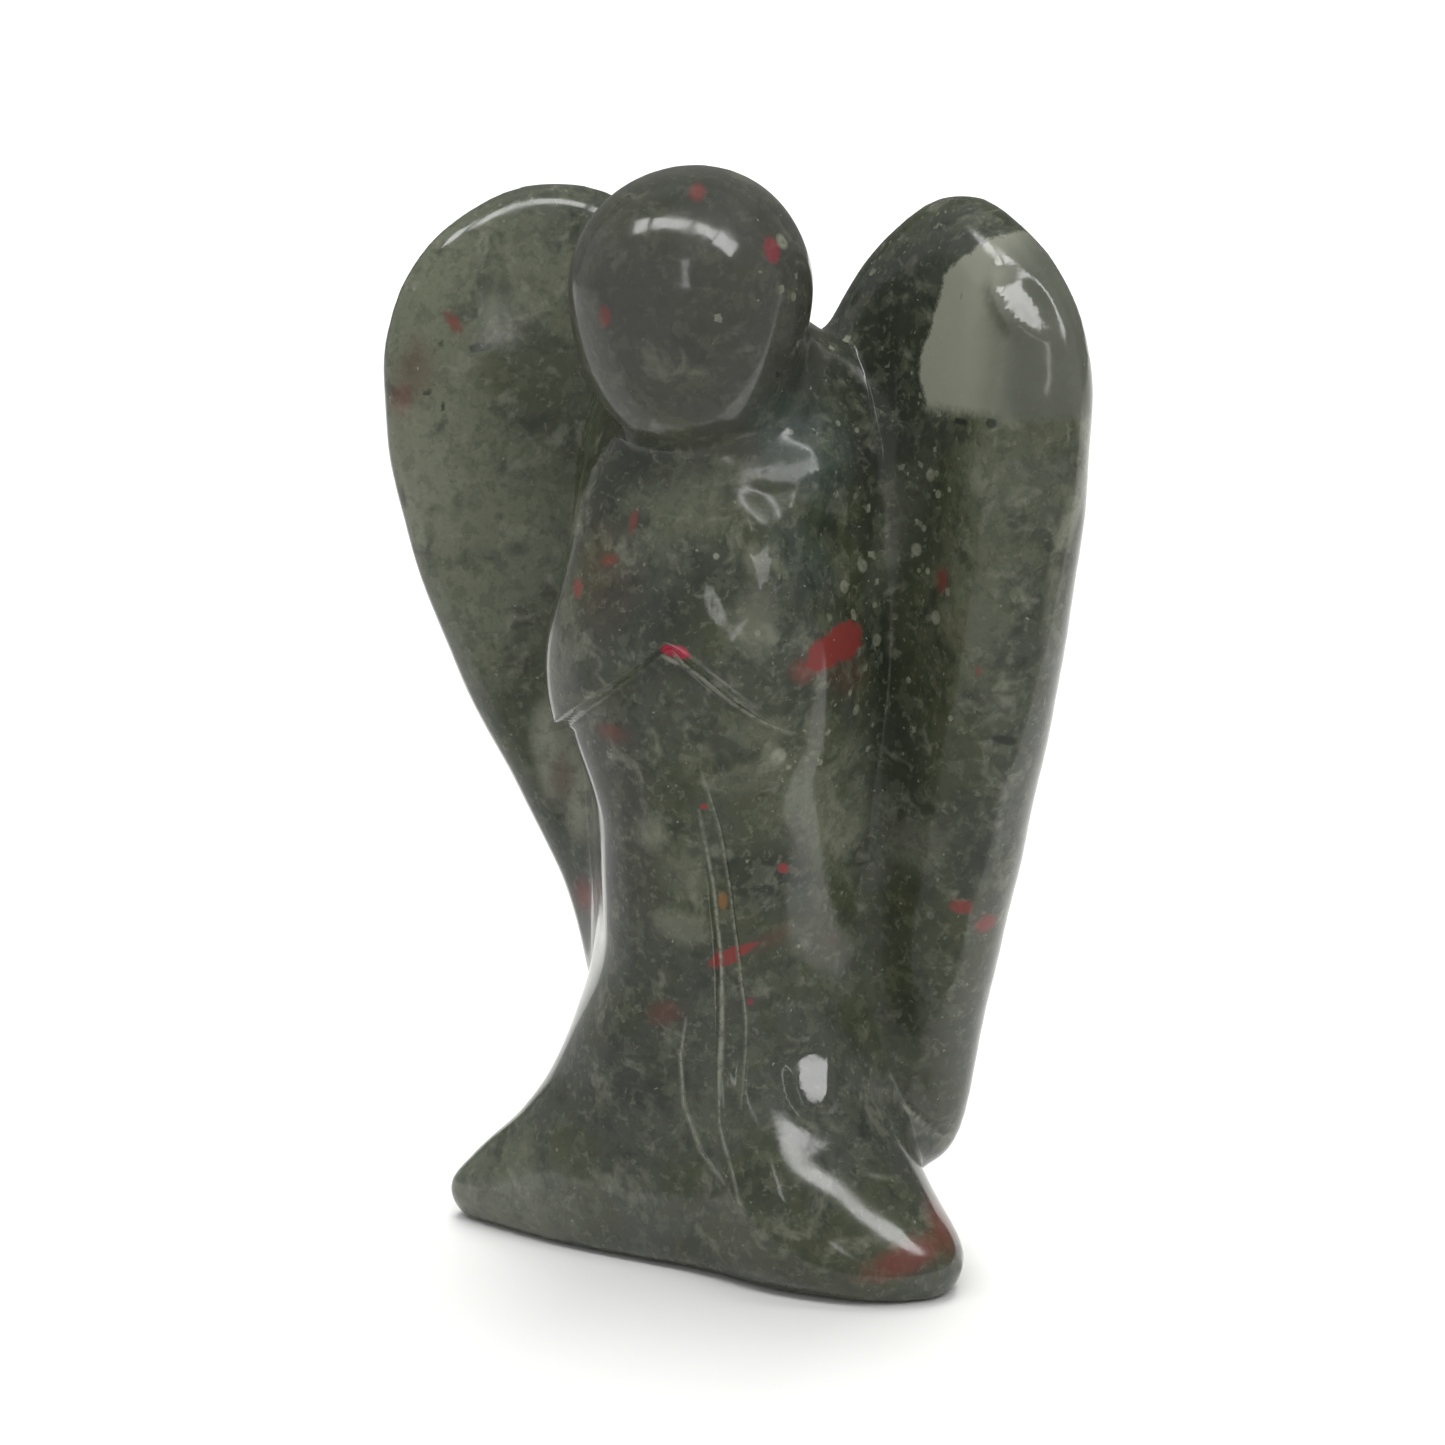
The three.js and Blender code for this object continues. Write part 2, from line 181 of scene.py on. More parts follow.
# Where the stone changes colour, as ellipsoids with blurred edges; some zones are painted reflection
# and some painted shade, as marked below.
# Columns: paint, centre, half sizes (across the photograph's view, into it, upwards), strength, blur.
ZONES = [
    ("slate", (-0.12, 0.04, 44), (7, 8, 7), 0.75, 0.4),
    # Painted reflection: the moss zones on the left wing's top, outer part and rim lighten it where it
    # reflects the bright room.
    ("moss", (-10.62, 3.04, 44.5), (6, 5, 3.6), 0.8, 0.6),
    ("moss", (-15.4, 2, 42), (1.8, 5, 7), 0.8, 0.6),
    ("deep", (-9.9, 4, 42.7), (0.8, 4, 1.6), 0.4, 0.8),
    ("olive", (-9.12, 3.54, 37.5), (3.6, 5, 6.5), 0.9, 0.5),
    ("moss", (-12.62, 2.54, 32), (3.6, 5, 5.5), 0.75, 0.6),
    ("moss", (-13.62, 2.54, 38), (1.8, 5, 6), 0.7, 0.6),
    ("olive", (-9.12, 2.54, 24), (2.6, 4, 6), 0.6, 0.6),
    ("olive", (3.08, -2.46, 22.5), (4.2, 4, 5), 0.9, 0.6),
    ("moss", (5.8, -0.4, 21), (2.4, 3, 2.6), 0.55, 0.6),
    ("pale", (3.3, -2.9, 25), (1.6, 3, 0.9), 0.3, 0.7),
    ("pale", (3.5, -2.6, 22.9), (1, 3, 0.6), 0.25, 0.7),
    ("teal_and_sheen", (2, -3, 20.6), (1.2, 3, 1.8), 0.5, 0.7),
    ("olive", (0.88, -2.96, 18), (3.6, 3, 3.2), 0.8, 0.5),
    ("pale", (0.2, -3, 19.2), (1.4, 3, 1.6), 0.3, 0.7),
    ("deep", (4.6, -0.8, 18.8), (2, 3, 1.8), 0.8, 0.7),
    ("olive", (10.48, 3.14, 30), (2.2, 5, 9), 0.8, 0.4),
    ("olive", (9.28, 3.74, 14), (1.6, 5, 8), 0.8, 0.5),
    ("moss", (12.88, 2.04, 34), (2.2, 4, 6), 0.5, 0.6),
    ("deep", (12.2, 3.6, 19), (1.6, 3, 4), 0.4, 0.7),
    # Painted shade: the two deep zones below darken the crease between the body and the right wing.
    ("deep", (7, 4.94, 36), (1.8, 4, 9.5), 0.7, 0.5),
    ("deep", (8.08, 3.94, 24), (1.5, 4, 7), 0.55, 0.5),
    ("pale", (7.8, 3.6, 35.2), (0.7, 3, 3.4), 0.22, 0.8),
    # Painted highlight: a pale spot on the right side of the robe.
    ("pale", (8.8, 3, 20.2), (1.3, 3, 1.3), 0.45, 0.7),
    ("deep", (-2.62, -2.46, 36.6), (3.4, 3, 2.2), 0.5, 0.6),
    ("moss", (1.3, -2.9, 35.2), (2.4, 2, 1.8), 0.6, 0.6),
    ("deep", (0.38, -3.46, 30.6), (3.4, 3, 1.5), 0.5, 0.6),
    # Painted reflection: the two bluish zones below paint the bluish grey that the neck's slope and the
    # front of the right arm reflect.
    ("teal_and_sheen", (4.78, 0.94, 39), (2, 3, 2.8), 0.8, 0.5),
    ("teal_and_sheen", (5.08, -1.46, 33), (1.6, 3, 2.6), 0.6, 0.6),
    ("rust", (-3.02, -3.26, 32.8), (1.6, 2.5, 2.4), 0.4, 0.6),
    ("rust", (6.78, 0.14, 28), (1.3, 3, 1.5), 0.6, 0.6),
    ("slate", (-4.32, -1.46, 22), (2.6, 4, 6.5), 0.7, 0.5),
    ("moss", (1.3, -3, 7.6), (2.4, 3, 2.2), 0.25, 0.7),
    ("deep", (-3.12, -2.96, 12), (2.6, 3, 3), 0.3, 0.6),
    # Painted light: the left tip of the base is lighter where light shows through its thin edge.
    ("moss", (-9.72, -1.96, 2.8), (3.2, 4, 2.8), 0.55, 0.6),
    ("pale", (6.2, 1.7, 22), (1.5, 3, 1.9), 0.6, 0.6),
    # Painted shade: this deep zone also darkens the crease between the body and the right wing.
    ("deep", (7.9, 3.7, 29), (0.8, 3, 2.5), 0.4, 0.6),
    ("deep", (10.8, 4.1, 11.3), (1.4, 3, 2.5), 0.3, 0.7),
    ("moss", (-3.4, -3.2, 27), (1, 2, 0.8), 0.35, 0.7),
    # Painted reflection: the five zones below lighten the left edge of the body, the lower left wing
    # and the left wing's rim, which reflect the bright floor on the left.
    ("pale", (-5.2, -2.6, 29.5), (0.5, 2, 2.5), 0.35, 0.6),
    ("milk_and_sheen", (-6.6, 2.8, 20.5), (0.8, 3, 3), 0.62, 0.5),
    ("milk_and_sheen", (-8.4, 3.2, 22.2), (1, 3, 2), 0.65, 0.6),
    ("pale", (-14.2, 1.4, 34.5), (1.2, 3, 3.5), 0.35, 0.7),
    ("pale", (-7, 1.6, 26.5), (1, 3, 3), 0.3, 0.7),
    # Painted reflection: a lighter band down the right wing's outer rim.
    ("milk_and_sheen", (16.6, 2.4, 36.5), (0.4, 3, 6.5), 0.6, 0.6),
    ("deep", (0, -3.4, 49.2), (2.2, 2, 0.9), 0.55, 0.6),
]
# Crisp marks, as seen from the photograph's side. Each group has a paint, a strength, a blur and its
# marks: x, y, z of the middle, half width, half height, and the turn clockwise in degrees.
MARKS = [
    ("rust", 0.55, 0.6, [
        (-14.62, 1.34, 40.3, 0.8, 1.5, 12), (-12.97, 2.34, 42.55, 0.55, 0.26, 52),
        (4.08, -1.26, 16, 1.1, 0.4, -22), (-2.72, -3.06, 25.3, 0.9, 0.5, 0),
        (-8.12, 2.84, 21.2, 0.6, 1, 0), (5.88, 1.74, 15.3, 0.4, 0.25, 0)]),
    ("red", 0.25, 0.7, [
        (-15.32, 1.24, 39, 0.5, 0.7, 20), (-0.42, -2.96, 12.5, 0.75, 0.5, -25),
        (-2.82, -3.16, 25.4, 0.5, 0.3, 0)]),
    ("red", 0.5, 0.6, [
        (1.48, -2.96, 49, 0.34, 0.3, -30), (-1.87, -5.16, 43.9, 0.24, 0.42, 0),
        (-1.52, -3.26, 34.9, 0.16, 0.55, 12), (-12.97, 2.34, 42.55, 0.55, 0.24, 52),
        (-2.72, -3.16, 33.1, 0.36, 0.22, -30), (10.78, 2.24, 32.1, 0.22, 0.5, 4),
        (12.78, 1.34, 28.4, 0.13, 0.2, 0), (-7.32, 3.24, 15.3, 0.5, 0.9, 10),
        (5.7, -1.5, 28.6, 0.55, 0.5, -35), (11.08, -2.66, 2.3, 1.9, 0.6, -18),
        (12.28, -0.96, 3.4, 0.6, 1.2, -20)]),
    ("red", 0.75, 0.45, [
        (11.48, 3.34, 17.1, 0.55, 0.34, 15), (12.18, 4.74, 16.1, 0.5, 0.42, -10),
        (-4.62, -2.36, 31.7, 0.2, 0.42, 8)]),
    ("red", 0.95, 0.2, [
        (7, 0.3, 29.5, 0.85, 0.85, -22), (6.3, -0.5, 29.2, 0.95, 0.75, -22),
        (2.18, -2.36, 15.15, 0.7, 0.36, -8), (2.78, -2.26, 15.5, 0.95, 0.26, -22),
        (1.6, -3.06, 22.35, 0.18, 0.15, 10), (4.48, -0.86, 19.25, 0.3, 0.22, 35)]),
    ("crimson", 0.42, 0.4, [
        (4.53, -2.16, 46.6, 0.34, 0.5, -15), (3.38, -2.06, 13.1, 0.16, 0.16, 0)]),
    ("crimson", 1, 0.25, [
        (0.58, -3.56, 29.4, 0.62, 0.36, 10)]),
    ("amber", 0.5, 0.4, [
        (2.23, -2.46, 17.9, 0.2, 0.38, 0)]),
    ("deep", 0.5, 0.7, [
        (-10.12, 2.74, 32.1, 0.5, 0.3, 0), (-10.92, 2.44, 33.6, 0.2, 0.2, 0),
        (-13.72, 1.14, 34, 0.3, 0.1, -20), (-13.32, 1.34, 37.7, 0.18, 0.25, 20),
        (14.9, 1.9, 30.9, 0.4, 0.2, 10), (14.1, 1.2, 27.4, 0.6, 0.15, 5)]),
    ("deep", 0.8, 0.35, [
        (-11.87, 2.74, 41.45, 0.62, 0.2, -8), (-13.42, 1.94, 41.6, 0.14, 0.16, 0),
        (-13.92, 1.34, 39.4, 0.28, 0.14, -20), (-13.22, 1.44, 38.7, 0.12, 0.3, 10),
        (13.68, 2.44, 25.2, 0.6, 0.22, 14), (11.48, 2.34, 39.1, 0.3, 0.14, 0),
        (13.18, 1.44, 39.2, 0.22, 0.22, 0), (4.88, -2.36, 41.3, 0.14, 0.14, 0)]),
    ("pale", 0.4, 0.5, [
        # Of these, the first mark, on the top of the right forearm, and the third, a streak on the
        # front of the right arm, are painted reflection.
        (4.08, -2.96, 30.9, 0.9, 1.5, 0), (4.5, -2.3, 24.8, 0.45, 0.5, 0),
        (3.78, -2.56, 33.5, 0.4, 0.7, 0), (0.48, -3.16, 16.7, 1.15, 0.75, 10),
        (-0.92, -3.06, 20.9, 0.6, 0.85, 0)]),
    # Painted highlight: the one mark of this group is a thin pale line along the rim below the joined
    # hands.
    ("grain", 0.8, 0.5, [
        (0.38, -3.76, 28.95, 0.4, 0.1, 25)]),
]
LEAST_COVER = 1e-4  # the zones' tint is worked out down to this cover
MARK_DEPTH = 3.0  # half the reach of a mark along the view
FAR_AWAY = 9.0  # distances from marks and grains, in units of their half sizes, end here
# Grains of pale quartz: the middle and half the size
GRAINS = [
    (6.88, 2.44, 32.5, 0.33), (6.58, 1.04, 31.8, 0.3), (7.08, 2.64, 31.2, 0.2),
    (6.28, -0.36, 30.6, 0.3), (5.78, -1.76, 29.6, 0.28), (7.38, 2.94, 29.1, 0.33),
    (6.98, 1.54, 26.2, 0.26), (6.88, 1.34, 30.6, 0.18), (5.38, -1.86, 31.1, 0.17),
    (4.68, -1.96, 24.7, 0.4), (4.08, -2.86, 29, 0.12), (9.78, 3.24, 36.6, 0.3),
    (9.08, 3.54, 37.9, 0.2), (10.28, 2.94, 35.8, 0.2), (9.18, 3.44, 33.2, 0.3),
    (9.48, 3.24, 34.2, 0.2), (10.48, 2.54, 30.4, 0.32), (8.68, 3.74, 29.6, 0.2),
    (2.08, -2.46, 15.9, 0.12), (3.88, -1.66, 15.8, 0.15), (4.98, -0.06, 15.4, 0.12),
    (5.48, 0.54, 15.4, 0.12), (-1.62, -5.06, 44.9, 0.14), (2.28, -4.66, 44.9, 0.16),
    (3.18, -3.76, 46.2, 0.2), (2.98, -3.76, 45, 0.2), (4.88, -1.46, 47, 0.4),
    (5.18, -1.36, 44.6, 0.18), (-3.92, -2.86, 26.5, 0.16), (5.08, -2.06, 24, 0.2),
    (6.05, 2.28, 38, 0.17), (5.87, 2.4, 38.8, 0.15), (6.41, 3.33, 38.4, 0.13),
    (4.46, 0.17, 38.6, 0.15), (3.75, -1.66, 37.5, 0.16), (7.45, 4.28, 36.9, 0.16),
    (5.68, 0.39, 35.6, 0.16), (6.62, 2.55, 35.6, 0.14), (7.5, 4, 34.9, 0.13), (7.37, 2.86, 30.7, 0.16),
    (8.93, 3.38, 27.3, 0.17), (7, 0.85, 27.1, 0.16), (7.25, 3, 25.2, 0.15), (9.87, 3.03, 32.35, 0.16),
    (9.02, 3.59, 32.9, 0.14), (9.38, 3.34, 32.3, 0.13), (10.2, 3.1, 36.7, 0.14),
    (10.96, 2.54, 36.1, 0.13), (11.4, 1.74, 26.1, 0.13), (4.7, -2.15, 32.5, 0.17),
    (4.7, -1.9, 33.3, 0.15), (4.26, -3.26, 30.35, 0.14), (2.37, -3.27, 33.6, 0.15),
    (5.84, 1.31, 15, 0.15), (4.97, -0.72, 13.9, 0.14), (3.71, -3.8, 28.55, 0.12),
    (6.97, 3.23, 22.85, 0.11),
]
# The fracture that bounds the pale top of the right wing, which is partly painted reflection: x and z
# of its points
FRACTURE = [(13.48, 47.2), (12.08, 46.9), (10.98, 46.1), (10.08, 45.4), (9.83, 44.4),
            (9.48, 43.1), (9.03, 41.9), (8.98, 40.8), (9.38, 39.6)]
FRACTURE_LINE = (0.15, 0.05, 0, 0.45)  # its dark line: mm from it at start and at full, and strengths
# Clouds and patches are drawn at places that are moved about: waves per mm and reach in mm, slow and
# fine. RAG is a fine noise (waves per mm, detail, roughness) that makes edges ragged by these amounts.
WAVY, UNEVEN, RAG = (0.35, 3), (2.2, 0.45), (2.6, 4, 0.7)
RAGGED = {"fracture": 0.7, "marks": 1.1, "grains": 0.8}
# Mottling over the whole stone: paint, size of its waves per millimetre, the noise from which it starts
# and at which it is full, its strength, and its share on the smooth-toned head
MOTTLES = [
    ("deep", 0.45, 0.5, 0.7, 0.6, 0.4),
    ("pale", 0.6, 0.54, 0.72, 0.5, 0.6),
    ("moss", 1.1, 0.52, 0.6, 0.25, 0.6),
    ("deep", 1.4, 0.52, 0.6, 0.24, 0.5),
    ("pale", 2.1, 0.58, 0.68, 0.3, 0.3),
    ("deep", 4.5, 0.5, 0.64, 0.15, 0.3),
]
# The pale top of the right wing, partly pale stone and partly painted reflection of the overhead light:
# the z between which it starts, the blur of its side along the fracture, the x between which it turns
# greyer, and how much it covers and turns
PALE_AND_SHEEN_TOP = {"bottom": (39.1, 39.9), "side": (-0.12, 0.12), "greys": (11.5, 14.5), "cover": 0.85,
            "greyer": 0.82}
MOTTLE_STEP = (31, 7, 12)  # moves the noise of each mottling, so that no two are alike
CLOUDS = {"size": 0.16, "from": 0.44, "full": 0.62}
PATCHY = (3, 0.6)  # detail and roughness of the clouds' and the mottles' noise
# Edges of grains and specks in half sizes, how far a grain covers, the range of RAG over which its tone
# changes, and for the frost the same range and how far it covers at both its ends
GRAIN_EDGE, SPECK_EDGE, GRAIN_COVER, GRAIN_TONE = (1.25, 0.75), (1.3, 0.7), 0.75, (-0.2, 0.2)
FROST_COVER = (-0.2, 0.1, 0.25, 0.9)
HEAD_MIDDLE, HEAD_EDGE = (0.0, -2.9, 44.0), (6, 7)  # in the frame's axes; where its smoother tone ends
# Fine grains beside the right wing's root: x between which they start and end, z between which they
# start, for each size of cell: cells per mm, half size of a grain, its share elsewhere and here, and
# how far they cover
FINE_GRAINS = {"from": (3.5, 6.5), "to": (9.5, 12), "above": (14, 28),
               "cells": ((1.0, 0.14, 0.01, 0.35), (2.1, 0.05, 0.1, 0.35)), "cover": 0.7}
# A spot of the shoulder that the polish left duller: its middle in the frame's axes, how far it is full
# and how far it reaches, and how much rougher it is
DULL_SPOT = {"middle": (4.3, -3.7, 36.7), "full": 1.5, "reach": 3.2, "rougher": 0.14}
QUARTZ_IOR = 1.54
# How the polish varies: its noise (waves per mm, detail, roughness), the values of it between which
# the roughness runs through its range, that range in shares, how much rougher scratched lines are, the
# noise of its ripples, and their height in mm
POLISH = {"noise": (0.8, 3, 0.7), "steps": (0.35, 0.7), "range": (0.75, 1.5), "scratched": 0.3,
          "ripples": (1.1, 2, 0.5), "height": 0.006}
VIEW_TURN = 22.3  # degrees that the photograph is taken from the right of straight in front

# The window overhead in front, in metres from the head: its place, and each pane's ends along x and
# depth
WINDOW_Y, WINDOW_HEIGHT = -0.2, 0.45
HEAD_HEIGHT = 45.0
PANES = [
    ("pane_left", -0.32, -0.2, 0.1),
    ("pane_middle", -0.17, 0.085, 0.075),
    ("pane_right", 0.11, 0.3, 0.085),
    ("pane_far", 0.31, 0.62, 0.14),
]
# An upright slit of light beside the camera: its turn from straight in front in degrees, how far from
# the head and how high above it, and its size. The pool is a lamp for the floor behind.
SLIT = {"turn": 20, "away": 0.5, "above": 0.22, "size": (0.055, 0.25)}
POOL = {"place": (-0.05, 0.25, 0.7), "aim": (-0.05, 0.22, 0), "size": (0.5, 0.5)}
# The floor, in metres: width, front end, where it starts to bend up to a wall, the bend's radius, the
# wall's top, and points along the bend
FLOOR = (4.0, -1.5, 0.35, 0.25, 1.4, 24)
FLOOR_ROUGHNESS = 0.7
SENSOR_WIDTH = 36  # millimetres
CLIP_START, CLIP_END = 0.005, 20  # metres
LOW = 0.0006  # metres above the floor
# Cards that only reflections show, as a room that is duller in some directions: name, corners, radiance
CARDS = [
    ("dull_front", [(-0.02, -0.016, LOW), (-1.3, -0.5, LOW), (-1.3, -1.6, LOW),
                    (1.6, -1.6, LOW), (1.6, 0.6, LOW), (0.035, -0.004, LOW)], 0.42),
    ("dull_left", [(-0.02, -0.016, LOW), (-0.03, 0.02, LOW), (-1.3, 0.55, LOW),
                   (-1.3, -0.5, LOW)], 0.67),
    ("dark_back", [(-1.5, 0.45, 0.02), (-1.5, 0.45, 1.3), (1.3, 0.55, 1.3), (1.3, 0.55, 0.02)], 0.18),
]


def paint(red, green, blue):
    """A colour picked on a screen, 0 to 255 a channel, as the linear values that shaders use."""
    screen = np.array((red, green, blue)) / 255
    linear = np.where(screen <= 0.04045, screen / 12.92, ((screen + 0.055) / 1.055) ** 2.4)
    return tuple(float(value) for value in linear)


def colour(name, description, red, green, blue):
    return bpy.props.FloatVectorProperty(
        name=name, description=description, subtype="COLOR", size=3, min=0, max=1,
        default=paint(red, green, blue))


def as_number(name, description, default, **more):
    return bpy.props.FloatProperty(name=name, description=description, default=default, **more)


def as_length(name, description, millimetres):
    return as_number(name, description, millimetres * MM, unit="LENGTH")


def as_angle(name, description, degrees):
    return as_number(name, description, math.radians(degrees), subtype="ANGLE")


class CarvingSettings(bpy.types.PropertyGroup):
    """Sizes of the carving."""

    head_width: as_length("Head width", "Across the egg-shaped head", 10.7)
    head_depth: as_length("Head depth", "From the front to the back of the head", 10.4)
    head_top: as_length("Head top", "Height of the crown above the base", 50)
    head_widest: as_length("Head middle", "Height at which the head is widest", 44.9)
    chin: as_length("Chin", "Height of the lowest point of the head", 37.3)
    head_y: as_length("Head place", "Place of the head's middle along Y", -0.4)
    taper: as_number("Head taper", "How much narrower the head's upper half is", 0.03, min=0, max=0.5)
    grain: as_length("Merge step", "Cell size in which the rough forms are merged", 0.27)
    polish: bpy.props.IntProperty(
        name="Polish", description="Passes that fill the inner corners", default=80, min=0)
    wobble: as_length("Hand wobble", "How far the hand-ground surface strays", 0.05)


class StoneSettings(bpy.types.PropertyGroup):
    """Colours and polish of the bloodstone."""

    # Some zones and marks use these colours as painted light: moss and pale paint reflection, deep
    # paints shade, and the grain colour paints one highlight.
    grey_green: colour("Grey green", "Most of the stone", 62, 65, 57)
    slate: colour("Slate", "Greyer stone of the head and the thigh", 62, 61, 57)
    olive: colour("Olive", "Clouds of yellower green", 60, 64, 46)
    moss: colour("Moss", "Lighter green clouds", 98, 102, 84)
    # This bluish colour also paints the reflection on the neck's slope and on the front of the right
    # arm.
    teal_and_sheen: colour("Teal", "Bluish clouds at the shoulder", 62, 72, 67)
    deep: colour("Deep green", "The darkest clouds", 34, 38, 32)
    pale: colour("Pale", "Pale grey-green quartz", 116, 118, 104)
    red: colour("Red", "Iron spots", 116, 48, 45)
    crimson: colour("Crimson", "The brightest red", 148, 34, 56)
    rust: colour("Rust", "Brown stains around the red", 76, 58, 48)
    amber: colour("Amber", "The one orange spot", 140, 92, 38)
    grain: colour("Grain", "Grains of quartz", 136, 138, 124)
    # This milky colour is partly the pale stone of the right wing's top and partly painted reflection,
    # there and in the lighter zones along the wings' rims and the left edge.
    milk_and_sheen: colour("Milk", "The milky top of the right wing", 138, 140, 126)
    gloss: as_number("Roughness", "Roughness of the polished surface", 0.13, min=0, max=1)


class StageSettings(bpy.types.PropertyGroup):
    """Camera and light."""

    azimuth: as_angle("Azimuth", "Camera's turn from straight in front", 22.33)
    elevation: as_angle("Elevation", "Camera's height angle", 13.17)
    roll: as_angle("Roll", "Camera's turn about its own axis", -0.34)
    distance: as_length("Distance", "From the camera to the point that it looks at", 133.3)
    aim_right: as_length("Aim right", "Aim point, right of the figure's axis", 1.17)
    aim_up: as_length("Aim up", "Aim point, above half height", 0.33)
    focal: as_number("Focal length", "In pixels of the photograph", 2965.0, min=1)
    world: as_number("Room light", "Strength of the even light all round", 0.42, min=0)
    window: as_number("Window", "Radiance of the panes overhead", 8.0, min=0)
    slit: as_number("Slit", "Radiance of the upright slit of light above the camera", 3.0, min=0)
    cards: as_number("Cards", "Strength of the cards that only reflections show", 1.0, min=0)
    pool: as_number("Pool", "Power in watts of the lamp that whitens the floor", 6.0, min=0)
    floor: colour("Floor", "Colour of the floor", 232, 232, 230)


def outline(stations, column):
    """A smooth curve through the stations of an outline: each span is a cubic whose end slopes are the
    harmonic mean of the slopes beside it, so that it never overshoots a station."""
    height, value = stations[:, 0], stations[:, column]
    rise = np.diff(value) / np.diff(height)
    below, above = rise[:-1], rise[1:]
    turning = below * above <= 0
    total = np.where(turning, 1.0, below + above)
    slope = np.concatenate(([rise[0]], np.where(turning, 0.0, 2 * below * above / total), [rise[-1]]))

    def curve(at):
        i = np.clip(np.searchsorted(height, at, side="right") - 1, 0, len(height) - 2)
        span = height[i + 1] - height[i]
        t = np.clip((at - height[i]) / span, 0, 1)
        return ((2 * t**3 - 3 * t**2 + 1) * value[i] + (t**3 - 2 * t**2 + t) * span * slope[i]
                + (3 * t**2 - 2 * t**3) * value[i + 1] + (t**3 - t**2) * span * slope[i + 1])

    return curve


def signed_power(value, power):
    return np.sign(value) * np.abs(value) ** power


def ease(value, low, high):
    """0 up to low, 1 from high, and a smooth S between."""
    t = np.clip((value - low) / (high - low), 0, 1)
    return t * t * (3 - 2 * t)


def bell(away, wide):
    return np.exp(-(away / wide) ** 2)


def arch(along, ends=0.0):
    """A sine that rises and falls once along a path, without a share of it at each end."""
    return np.sin(np.pi * (ends + (1 - 2 * ends) * along))


def near_path(path, x, z):
    """Distance of each point from a line of straight pieces, and how far along it, 0 to 1, it is
    nearest."""
    best = np.full(x.shape, np.inf)
    along = np.zeros(x.shape)
    for i, ((x0, z0), (x1, z1)) in enumerate(zip(path[:-1], path[1:])):
        dx, dz = x1 - x0, z1 - z0
        t = np.clip(((x - x0) * dx + (z - z0) * dz) / (dx * dx + dz * dz), 0, 1)
        away = np.hypot(x - x0 - t * dx, z - z0 - t * dz)
        closer = away < best
        best = np.where(closer, away, best)
        along = np.where(closer, (i + t) / (len(path) - 1), along)
    return best, along


def swell(x, z):
    """How far the broad forms of the front stand out: foot, shin and knee are rounded hills, and each
    fold is a rounded furrow along its path."""
    out = np.zeros(x.shape)
    for hill in HILLS:
        out = out + hill["lift"] * bell(x - hill["x"], hill["wide"]) * bell(z - hill["z"], hill["high"])
    for path, wide, deep in FOLDS:
        away, along = near_path(path, x, z)
        out = out - deep * arch(along, FOLD_ENDS) * bell(away, wide)
    return out


def relief(x, z):
    """How far the crisp forms of the front stand out: the sleeves are a step along their slanting lower
    edge that fades upwards, and the channel is a trough with a flat floor."""
    above = z - (SLEEVE["apex"] - SLEEVE["slope"] * np.abs(x - SLEEVE["x"]))
    left, right = SLEEVE["soft"]
    soft = left + (right - left) * ease(x, *SLEEVE["change"])
    rise = ease(above / soft, *SLEEVE["rise"])
    fall = 1 - ease(above, *SLEEVE["fall"])
    end = ease(x, *SLEEVE["start"]) * (1 - ease(x, *SLEEVE["end"]))
    out = SLEEVE["lift"] * rise * fall * end
    path, wide, deep = CHANNEL
    away, along = near_path(path, x, z)
    wall = 1 - ease(away / wide, *CHANNEL_WALL)
    return out - deep * arch(along) ** 0.5 * wall


def body_surface(around=300, up=280):
    """Rounded sections up the outline: across is a cosine and depth a sine of the turn, both raised to
    a power that squares the section. The flanks widen smoothly towards the back, and the front
    swells."""
    turn = np.linspace(0, 2 * np.pi, around, endpoint=False)[None, :]
    z = np.linspace(0, BODY[-1, 0], up)[:, None]
    side, flank, front, widest, back, square = (outline(BODY, i)(z) for i in range(1, 7))
    across = signed_power(np.cos(turn), 2 / square)
    deep = signed_power(np.sin(turn), 2 / square)
    y = widest + deep * np.where(deep < 0, widest - front, back - widest)
    x = across * (side + (flank - side) * ease(y, FLANK_FROM, FLANK_TO))
    z = np.broadcast_to(z, x.shape)
    skew = HEM_SKEW * x * np.maximum(0, 1 - z / HEM_SKEW_TOP)
    y = y - (skew + swell(x, z)) * np.maximum(0, -deep)
    return np.stack((x, y, z), axis=-1)


def head_surface(head, around=160, up=120):
    """An egg: circles whose radius is the cosine of the tilt, a little less in the upper half, at a
    height that grows with its sine, more slowly above the widest line than below it."""
    turn = np.linspace(0, 2 * np.pi, around, endpoint=False)[None, :]
    tilt = np.linspace(-np.pi / 2, np.pi / 2, up)[1:-1, None]
    reach = np.where(tilt < 0, head.head_widest - head.chin, head.head_top - head.head_widest) / MM
    radius = np.cos(tilt) * (1 - head.taper * np.sin(2 * np.maximum(tilt, 0)))
    x = head.head_width / MM / 2 * radius * np.cos(turn)
    y = head.head_y / MM + head.head_depth / MM / 2 * radius * np.sin(turn)
    z = np.broadcast_to(head.head_widest / MM + reach * np.sin(tilt), x.shape)
    return np.stack((x, y, z), axis=-1)


